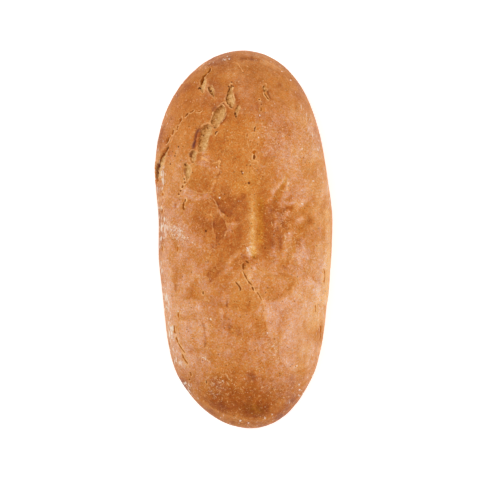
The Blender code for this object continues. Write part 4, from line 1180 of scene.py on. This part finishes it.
def layStroke(x0, y0, x1, y1, width, *look):
    # tones and height with the section of a bell across the line from x0, y0 to x1, y1
    baking, blush, gold, height = (amount / 100 for amount in (*look, 0, 0, 0)[:4])
    places = seen + (ragged - seen) * min(1, width / strokeForm["raggedWidth"])
    distance = alongStroke(places, np.array([x0, y0], float), np.array([x1, y1], float))
    cover = bell(distance, 0, strokeForm["spread"] * width) * onTop
    tint(slice(None), cover, baking, blush, gold)
    np.add(lift, height * cover, out=lift)


for group in strokes.values():
    for stroke in group:
        layStroke(*stroke)
print("strokes laid", sum(len(group) for group in strokes.values()))

# what holds for the crust as a whole

wholeCrust = {
    "baking": 0.50,
    "clouds": ((0.03, 30.0), (0.03, 13.0), (0.03, 6.0)),  # how much, and wavelength in millimetres
    "blush": 0.13,
    "blushes": ((0.10, 11.0), (0.08, 5.0)),
    # the head and the right cheek are calmer
    "calmHead": (0.7, 95, 135),  # how calm, and between which pixels down this ends
    "calmCheek": ((303, 15), (335, 30)),  # place and spread in pixels, across and down
    "calmShare": 0.7,  # by which share the blush varies less there
    "below": (4, 26),  # the underside is paler: fully so up to the first height, not above the second
    "belowBaking": 0.12,
    "rimGold": (0.3, 0.25),  # how much, and over which spread of the normal's height
}
paint["baking"] += wholeCrust["baking"] + layered(points, wholeCrust["clouds"], seeds["clouds"])
(cheekX, spreadX), (cheekY, spreadY) = wholeCrust["calmCheek"]
rightCheek = bell(seen[:, 0], cheekX, spreadX) * bell(seen[:, 1], cheekY, spreadY)
calmest, calmFrom, calmTo = wholeCrust["calmHead"]
paint["calm"] = np.maximum(calmest * (1 - rise(seen[:, 1], calmFrom, calmTo)), rightCheek) * onTop
blushes = layered(points, wholeCrust["blushes"], seeds["blushes"])
paint["blush"] += wholeCrust["blush"] + blushes * (1 - wholeCrust["calmShare"] * paint["calm"])
below = 1 - rise(points[:, 2], *wholeCrust["below"])
paint["baking"] += wholeCrust["belowBaking"] * below
rimGold, rimSpread = wholeCrust["rimGold"]
paint["gold"] += rimGold * bell(normals[:, 2], 0.0, rimSpread)

# flour: from x, y to x, y and half width in pixels, amount

flourings = (
    (158, 188, 160, 245, 4, 0.7), (168, 215, 167, 246, 4, 0.35), (178, 228, 183, 238, 4.5, 1.6),
    (165, 222, 175, 238, 4, 1), (161, 162, 163, 180, 2.5, 1.2), (160, 262, 165, 300, 3, 0.8),
    (166, 300, 172, 330, 3.5, 0.8), (170, 330, 175, 358, 4, 0.9), (177, 362, 185, 366, 4, 0.8),
    (186, 383, 190, 391, 2.5, 1.2), (200, 357, 206, 360, 3.5, 0.8), (211, 386, 222, 382, 5, 0.5),
    (209, 392, 216, 396, 3, 0.5), (196, 366, 206, 378, 7, 0.4), (247, 248, 250, 254, 2, 1.6),
    (272, 345, 276, 358, 4, 1.1), (274, 222, 276, 226, 3, 0.5), (268, 128, 290, 150, 14, 0.5),
    (282, 196, 294, 240, 10, 0.4), (282, 392, 296, 400, 12, 0.4), (212, 384, 226, 402, 12, 0.3),
    (232, 380, 262, 396, 12, 0.3), (300, 110, 312, 150, 8, 0.4), (292, 246, 306, 262, 9, 0.4),
    (316, 287, 318, 292, 1.5, 0.8), (223, 59.5, 230, 59, 1.6, 0.9), (252, 203, 254, 245, 1.6, 0.5),
    (240, 415, 262, 420, 7, 0.35), (267, 328, 268, 336, 2, 0.6), (210, 60, 202, 68, 5, 0.5),
    (160, 118, 158, 140, 3, 0.3),
)
flourForm = {
    "spread": 1.2,  # in half widths
    "below": 0.15,
    "speckEdge": 0.64,  # millimetres for each pixel of a speck's radius
}
for x0, y0, x1, y1, width, amount in flourings:
    distance = alongStroke(seen, np.array([x0, y0], float), np.array([x1, y1], float))
    paint["flour"] += amount * bell(distance, 0, flourForm["spread"] * width) * onTop
paint["flour"] += flourForm["below"] * below
paint["flank"] = 1 - rise(normals[:, 2], *facing["aboveFlank"])

# white specks: pixel x, pixel y, radius in pixels
specks = (
    (182.5, 83, 0.9), (260, 115, 0.9), (219.5, 197.5, 1), (275.8, 223.5, 0.9), (275, 234, 0.8),
    (283.5, 251, 0.9), (232, 268, 0.9), (210.5, 319, 0.9), (211.7, 321, 0.8), (267.5, 333, 0.8),
    (275, 348.5, 0.9), (274, 355, 0.8), (276.3, 357.5, 0.8), (297, 366, 0.9), (282, 369, 0.9),
    (244.5, 379, 0.9), (308, 377.5, 1), (299.5, 384.5, 1.2), (300, 390, 1.1), (284, 398, 0.8),
    (272, 414, 0.9), (265, 417.5, 1), (240.3, 421, 1.3), (248.5, 423, 0.9), (217, 394, 0.9),
    (222.5, 381, 0.9), (313.5, 181, 0.9), (312.6, 204.5, 0.9), (301.8, 204, 1), (292.5, 213.5, 0.8),
    (283, 136, 0.7), (300, 144.5, 0.8), (302, 149, 0.8), (281.5, 72, 0.8), (291, 80, 0.9), (229.5, 59, 0.9),
    (225, 60, 0.7), (293, 257, 1), (317.3, 292, 0.9), (188, 237.5, 0.8), (178.3, 311, 0.9), (168, 308, 1),
    (193, 243, 0.7), (258.8, 137.3, 1), (243, 172.4, 0.7), (271, 177.4, 0.7), (270.2, 101, 0.8),
    (275, 103.4, 0.6), (203, 358, 1.1), (205.5, 359, 0.9), (215.5, 118.5, 0.9), (216.5, 167, 0.7),
    (271, 375, 0.7), (260, 371, 0.7),
)
for x, y, radius in specks:
    distance = np.hypot(seen[:, 0] - x, seen[:, 1] - y) * photo["mmPerPixel"]
    inward = np.where(onTop > 0.5, flourForm["speckEdge"] * radius - distance, -farAway)
    within["speck"] = np.maximum(within["speck"], inward)
print("crust painted")

# the crust's own unevenness, kept off the flat base

unevenness = {
    "layers": ((0.16, 26.0), (0.10, 11.0), (0.06, 5.0), (0.035, 2.6)),  # height and wavelength
    "aboveBase": (3, 12),
    "calmRim": (30, 14, 0.7),  # height, spread, and by which share it is less there
}
uneven = layered(points, unevenness["layers"], seeds["unevenness"])
uneven *= rise(points[:, 2], *unevenness["aboveBase"])
lift += uneven * (1 - bump(points[:, 2], unevenness["calmRim"]))
shape = points + normals * lift[:, None] + slide
shape[:, 2] = np.maximum(shape[:, 2], 0)


def makeMesh(name, vertices, faces):
    # vertices in millimetres; faces is a list of arrays, each of faces with one number of corners
    mesh = bpy.data.meshes.new(name)
    corners = np.concatenate([group.ravel() for group in faces])
    totals = np.concatenate([np.full(len(group), group.shape[1]) for group in faces])
    starts = np.concatenate([[0], np.cumsum(totals)[:-1]])
    mesh.vertices.add(len(vertices))
    mesh.vertices.foreach_set("co", (vertices * mm).astype(np.float32).ravel())
    mesh.loops.add(len(corners))
    mesh.loops.foreach_set("vertex_index", corners.astype(np.int32))
    mesh.polygons.add(len(totals))
    mesh.polygons.foreach_set("loop_start", starts.astype(np.int32))
    mesh.update(calc_edges=True)
    mesh.validate()
    mesh.shade_smooth()
    piece = bpy.data.objects.new(name, mesh)
    bpy.context.scene.collection.objects.link(piece)
    return piece


crust = makeMesh("crust", shape, skinFaces())
for name, values in {**paint, **within, "fromBorder": fromBorder}.items():
    attribute = crust.data.attributes.new(name, "FLOAT", "POINT")
    attribute.data.foreach_set("value", np.clip(values, -farAway, farAway).astype(np.float32))
print("crust made", len(crust.data.polygons), "faces")


# finishes

def tone(red, green, blue):
    # a screen colour as the linear colour that a shader takes
    def linear(value):
        value /= 255
        return value / 12.92 if value <= 0.04045 else ((value + 0.055) / 1.055) ** 2.4
    return (linear(red), linear(green), linear(blue), 1.0)


class Wire:
    # one output of a node; + - and * on it add Math nodes
    def __init__(self, finish, socket):
        self.finish, self.socket = finish, socket

    def maths(self, operation, first, second):
        return self.finish.node("ShaderNodeMath", {"operation": operation}, {0: first, 1: second})

    def __add__(self, other):
        return self.maths("ADD", self, other)

    def __sub__(self, other):
        return self.maths("SUBTRACT", self, other)

    def __rsub__(self, other):
        return self.maths("SUBTRACT", other, self)

    def __mul__(self, other):
        return self.maths("MULTIPLY", self, other)

    __radd__ = __add__


class Finish:
    # a material and the one way in which its nodes are made
    def __init__(self, name):
        self.material = bpy.data.materials.new(name)
        self.material.use_nodes = True
        self.tree = self.material.node_tree
        self.shader = self.tree.nodes["Principled BSDF"]

    def set(self, target, value):
        if isinstance(value, Wire):
            self.tree.links.new(value.socket, target)
        else:
            target.default_value = value

    def node(self, kind, settings=None, sockets=None, out=0):
        made = self.tree.nodes.new(kind)
        for name, value in (settings or {}).items():
            if name == "stops":
                ramp = made.color_ramp
                while len(ramp.elements) < len(value):
                    ramp.elements.new(0.5)
                for stop, (place, colour) in zip(ramp.elements, value):
                    stop.position, stop.color = place, colour
            else:
                setattr(made, name, value)
        for name, value in (sockets or {}).items():
            self.set(made.inputs[name], value)
        return Wire(self, made.outputs[out])

    def attribute(self, name):
        return self.node("ShaderNodeAttribute", {"attribute_name": name}, out="Fac")

    def between(self, value, low, high):
        # value from low to high becomes 0 to 1, smoothly
        return self.node("ShaderNodeMapRange", {"interpolation_type": "SMOOTHSTEP"},
                         {"Value": value, "From Min": low, "From Max": high})

    def mix(self, share, first, second, blend="MIX"):
        return self.node("ShaderNodeMix", {"data_type": "RGBA", "blend_type": blend},
                         {"Factor": share, 6: first, 7: second}, out=2)

    def noise(self, place, size, detail, rough):
        # size is the pattern's wavelength in millimetres
        return self.node("ShaderNodeTexNoise", {"noise_dimensions": "3D"},
                         {"Vector": place, "Scale": 1 / (size * mm), "Detail": detail, "Roughness": rough})


crustFinish = {
    # from the darkest crust to the palest: plain, rosy and golden
    "plainTones": ((0.0, tone(148, 68, 12)), (0.22, tone(175, 92, 26)), (0.45, tone(201, 121, 49)),
                   (0.70, tone(219, 147, 80)), (1.0, tone(238, 180, 122))),
    "rosyTones": ((0.0, tone(138, 70, 32)), (0.22, tone(171, 98, 55)), (0.45, tone(204, 132, 88)),
                  (0.70, tone(224, 160, 120)), (1.0, tone(242, 196, 166))),
    "goldenTones": ((0.0, tone(148, 80, 4)), (0.22, tone(188, 106, 16)), (0.45, tone(214, 138, 48)),
                    (0.70, tone(229, 165, 86)), (1.0, tone(242, 198, 134))),
    "crumbTones": ((0.0, tone(116, 64, 16)), (0.22, tone(172, 108, 42)), (0.45, tone(208, 150, 84)),
                   (0.66, tone(228, 176, 112)), (0.9, tone(242, 202, 148))),
    # the insides of cracks, purple, dark and golden, partly darker crust and partly painted shade in the
    # groove, and the painted shadow of folds
    "gapTones": ((0.0, tone(118, 56, 40)), (0.25, tone(146, 70, 32)), (0.5, tone(108, 50, 2)),
                 (1.0, tone(196, 104, 4))),
    "foldShadeTones": ((0.0, tone(112, 54, 46)), (0.5, tone(118, 48, 4)), (1.0, tone(184, 84, 16))),
    "deeper": (0.99, 0.81, 0.50, 1.0),
    "creamier": (1.01, 1.19, 1.50, 1.0),
    "redder": (1.04, 0.965, 0.80, 1.0),
    "yellower": (0.965, 1.035, 1.20, 1.0),
    # painted shade in pits and pores
    "pitShade": tone(116, 56, 10),
    "speckle": tone(120, 60, 20),
    "grain": tone(238, 196, 144),
    "edge": tone(238, 172, 106),
    "lip": tone(246, 190, 126),
    "flour": tone(244, 230, 212),
    "shine": 0.15,
    # wavelength in millimetres, detail, roughness, and how the pattern is moved or stretched
    "patterns": {
        "cloudy": (4.5, 3.0, 0.6),
        "grain": (1.7, 1.0, 0.5),
        "fine": (0.9, 1.0, 0.5, {"Location": (0.3, 0.1, 0.2)}),
        "curl": (3.0, 1.0, 0.5),
        "fibrePatches": (2.4, 1.0, 0.5),
        "speckled": (1.5, 2.0, 0.6, {"Location": (0.7, 0.2, 0.9)}),
        "mottled": (1.6, 2.0, 0.6, {"Location": (0.1, 0.8, 0.5)}),
        "streaks": (1.0, 1.0, 0.5, {"Scale": (0.80, 0.19, 0.24)}),
        "powder": (1.5, 1.0, 0.5),
        "crumb": (1.3, 2.0, 0.6),
    },
    "cell": 1.7,  # millimetres; one speck can lie in each cell
    # the values between which each thing begins and is full; distances in millimetres
    "spans": {
        "curl": (0.004, 0.034), "fibrePatches": (0.45, 0.54), "mottled": (-0.15, 0.15),
        "finest": (-0.20, 0.20), "streaks": (0.69, 0.77), "floured": (0.5, 1.5),
        "powder": (0.72, 0.80), "whiteFibres": (0.0, 0.8), "spot": (0.20, 0.38), "paleSpeck": (0.935, 0.975),
        "darkSpeck": (0.92, 0.97), "speck": (-0.15, 0.15), "border": (0.10, 0.65), "crumb": (-0.12, 0.12),
        "lipStart": (-1.25, -0.75), "lipEnd": (-0.40, -0.10), "crack": (-0.40, 0.20), "pit": (-0.35, 0.25),
        "roughness": (-0.2, 1.0),
    },
    # how much each thing adds to another
    "shares": {
        "calm": 0.6, "steady": 0.3, "lively": 0.7,
        "cloudyTone": 0.10, "grainTone": 0.22, "fineTone": 0.13, "fibreTone": 0.22,
        "grainBlush": 1.3, "cloudyBlush": 0.9, "speckledBlush": 0.9, "grainGold": 0.4,
        "flourStreaks": 0.15, "flourPowder": 0.13, "dusting": 0.8, "powder": 0.5,
        "flouredSpecks": 0.5, "flourSpecks": 0.12, "darkSpeck": 0.8, "paleSpeck": 0.5, "whiteSpeck": 0.25,
        "paleFibres": 0.10, "whiteFibres": 0.55, "speck": 0.9, "border": 0.8,
        "fineBorder": 0.6, "fineTear": 0.5, "fineCrack": 0.4, "finePit": 0.4, "fineSpeck": 1.5,
        "patternHeight": 0.5, "crumbHeight": 0.8, "speckHeight": 0.2,
        "roughness": 0.5, "paleRoughness": 0.2, "bump": 0.2,
    },
    "bumpDistance": 0.5,  # millimetres
}


def dressCrust():
    look, span, share = crustFinish, crustFinish["spans"], crustFinish["shares"]
    f = Finish("bakedCrust")
    place = f.node("ShaderNodeTexCoord", out="Object")

    def pattern(name):
        size, detail, rough, *mapped = look["patterns"][name]
        spot = f.node("ShaderNodeMapping", {}, {"Vector": place, **mapped[0]}) if mapped else place
        return f.noise(spot, size, detail, rough)

    def tones(name, value):
        return f.node("ShaderNodeValToRGB", {"stops": look[name]}, {"Fac": value})

    def spread(value, name):
        return f.between(value, *span[name])

    baking, blush, gold = f.attribute("baking"), f.attribute("blush"), f.attribute("gold")
    busy = 1 - f.attribute("calm") * share["calm"]
    cloudy = (pattern("cloudy") - 0.5) * busy
    grain = (pattern("grain") - 0.5) * busy
    fine = pattern("fine") - 0.5
    # fine curling fibres, where a slow noise crosses its middle value
    curl = f.node("ShaderNodeMath", {"operation": "ABSOLUTE"}, {0: pattern("curl") - 0.5})
    fibres = (1 - spread(curl, "curl")) * spread(pattern("fibrePatches"), "fibrePatches")
    level = baking + cloudy * share["cloudyTone"] + grain * share["grainTone"] + fine * share["fineTone"]
    level = level + fibres * busy * share["fibreTone"]

    speckled = (pattern("speckled") - 0.5) * busy
    rosy = blush + grain * share["grainBlush"] + cloudy * share["cloudyBlush"]
    rosy = f.between(rosy + speckled * share["speckledBlush"], 0.0, 1.0)
    colour = f.mix(rosy, tones("plainTones", level), tones("rosyTones", level))
    golden = f.between(gold + grain * share["grainGold"], 0.0, 1.0)
    colour = f.mix(golden, colour, tones("goldenTones", level))

    # the finest grain, from saturated to creamy, and a mottling from redder to yellower
    lively = share["steady"] + busy * share["lively"]
    mottled = spread((pattern("mottled") - 0.5) * lively, "mottled")
    finest = spread(fine * lively, "finest")
    colour = f.mix(1.0, colour, f.mix(finest, look["deeper"], look["creamier"]), "MULTIPLY")
    colour = f.mix(1.0, colour, f.mix(mottled, look["redder"], look["yellower"]), "MULTIPLY")

    # flour in short streaks and in single grains, and small dark specks
    flour, flank = f.attribute("flour"), f.attribute("flank")
    dusting = spread(pattern("streaks") + flour * share["flourStreaks"], "streaks") * flank
    floured = spread(flour, "floured")
    powder = spread(pattern("powder") + flour * share["flourPowder"], "powder") * floured * (1 - flank)
    colour = f.mix(dusting * share["dusting"] + powder * share["powder"], colour, look["flour"])
    cells = {"Vector": place, "Scale": 1 / (look["cell"] * mm)}
    fromMiddle = f.node("ShaderNodeTexVoronoi", {}, cells, out="Distance")
    chances = f.node("ShaderNodeTexVoronoi", {}, cells, out="Color")
    paleChance = f.node("ShaderNodeSeparateColor", {}, {"Color": chances}, out="Red")
    darkChance = f.node("ShaderNodeSeparateColor", {}, {"Color": chances}, out="Green")
    spot = 1 - spread(fromMiddle, "spot")
    likely = paleChance + floured * share["flouredSpecks"] + flour * share["flourSpecks"]
    paleSpeck = spot * spread(likely, "paleSpeck")
    darkSpeck = spot * spread(darkChance, "darkSpeck") * busy
    colour = f.mix(darkSpeck * share["darkSpeck"], colour, look["speckle"])
    whiter = floured * share["whiteSpeck"] + share["paleSpeck"]
    colour = f.mix(paleSpeck * whiter, colour, f.mix(floured, look["grain"], look["flour"]))
    whiter = spread(flour, "whiteFibres") * share["whiteFibres"] + share["paleFibres"]
    colour = f.mix(fibres * whiter, colour, look["grain"])

    # thin pale borders, then tears with their crumb and lips, cracks and pits: where they are and how far
    # they reach follows from how far inside each a point lies
    border = 1 - spread(f.attribute("fromBorder") + fine * share["fineBorder"], "border")
    tear = f.attribute("tear") + fine * share["fineTear"]
    crack = f.attribute("crack") + fine * share["fineCrack"]
    pit = f.attribute("pit") + fine * share["finePit"]
    crumbNoise = pattern("crumb")
    crumb = spread(tear, "crumb")
    # the crumb's tone carries the painted shade beside each tear's wall and the painted light towards its far
    # edge
    colour = f.mix(crumb, colour, tones("crumbTones", f.attribute("crumbTone") + (crumbNoise - 0.5)))
    for edge, amount in ((tear, f.attribute("lip")), (crack, f.attribute("crackLip"))):
        lips = spread(edge, "lipStart") * (1 - spread(edge, "lipEnd")) * amount
        colour = f.mix(lips, colour, look["lip"])
    colour = f.mix(border * f.attribute("border") * share["border"], colour, look["edge"])
    # the painted shadow of folds
    colour = f.mix(f.attribute("fold"), colour, tones("foldShadeTones", f.attribute("foldHue")))
    # the inside of cracks: partly darker crust, partly painted shade
    colour = f.mix(spread(crack, "crack"), colour, tones("gapTones", f.attribute("hue")))
    # painted shade in the hollows of pits and pores
    colour = f.mix(spread(pit, "pit"), colour, look["pitShade"])
    speck = spread(f.attribute("speck") + fine * share["fineSpeck"], "speck")
    colour = f.mix(speck * share["speck"], colour, look["flour"])
    f.set(f.shader.inputs["Base Color"], colour)
    roughness = spread(level, "roughness") * share["paleRoughness"] + share["roughness"]
    f.set(f.shader.inputs["Roughness"], roughness)
    patterned = share["patternHeight"]
    height = cloudy * patterned + grain * patterned + fine * patterned
    height = height + crumbNoise * crumb * share["crumbHeight"]
    height = height - darkSpeck * share["speckHeight"] + paleSpeck * share["speckHeight"]
    settings = {"Strength": share["bump"], "Distance": look["bumpDistance"] * mm, "Height": height}
    f.set(f.shader.inputs["Normal"], f.node("ShaderNodeBump", {}, settings))
    f.set(f.shader.inputs["Specular IOR Level"], look["shine"])
    return f.material


crust.data.materials.append(dressCrust())
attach(crust, "root")
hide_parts("loaf")
print("crust dressed")

# floor, light and camera

studio = {
    "floorSize": 6.0,
    "floor": tone(250, 250, 250),
    "floorRoughness": 0.9,
    "floorGlow": 0.42,
    "sky": 0.42,
    # place and size in metres, watts
    "lamps": {
        "keyLeft": ((-1.0, 0.6, 1.4), 0.8, 8.7),
        "fillRight": ((1.3, -0.3, 1.0), 1.2, 7.2),
        "overhead": ((0.0, 0.0, 2.2), 1.6, 13.4),
    },
    "lens": 100.0,
    "sensor": 36.0,
}


def layFloor():
    half = studio["floorSize"] / 2 / mm
    corners = np.array([[-half, -half, 0], [half, -half, 0], [half, half, 0], [-half, half, 0]])
    floor = makeMesh("floor", corners, [np.array([[0, 1, 2, 3]])])
    f = Finish("paleFloor")
    f.set(f.shader.inputs["Base Color"], studio["floor"])
    f.set(f.shader.inputs["Roughness"], studio["floorRoughness"])
    f.set(f.shader.inputs["Emission Color"], studio["floor"])
    f.set(f.shader.inputs["Emission Strength"], studio["floorGlow"])
    floor.data.materials.append(f.material)


def hangLamp(name, place, size, watts):
    light = bpy.data.lights.new(name, "AREA")
    light.size, light.energy = size, watts
    lamp = bpy.data.objects.new(name, light)
    bpy.context.scene.collection.objects.link(lamp)
    lamp.location = place
    aim = Vector(place)
    lamp.rotation_euler = aim.to_track_quat("Z", "Y").to_euler()


layFloor()
for name, (place, size, watts) in studio["lamps"].items():
    hangLamp(name, place, size, watts)
world = bpy.data.worlds.new("studioAir")
world.use_nodes = True
world.node_tree.nodes["Background"].inputs["Color"].default_value = (1, 1, 1, 1)
world.node_tree.nodes["Background"].inputs["Strength"].default_value = studio["sky"]
bpy.context.scene.world = world
bpy.context.scene.view_settings.view_transform = "Standard"

lens = bpy.data.cameras.new("camera")
lens.lens, lens.sensor_width = studio["lens"], studio["sensor"]
camera = bpy.data.objects.new("camera", lens)
bpy.context.scene.collection.objects.link(camera)
camera.location = (*(underEye * mm), (loafForm["rimHeight"] + photo["eyeAboveRim"]) * mm)
bpy.context.scene.camera = camera
print("studio set")
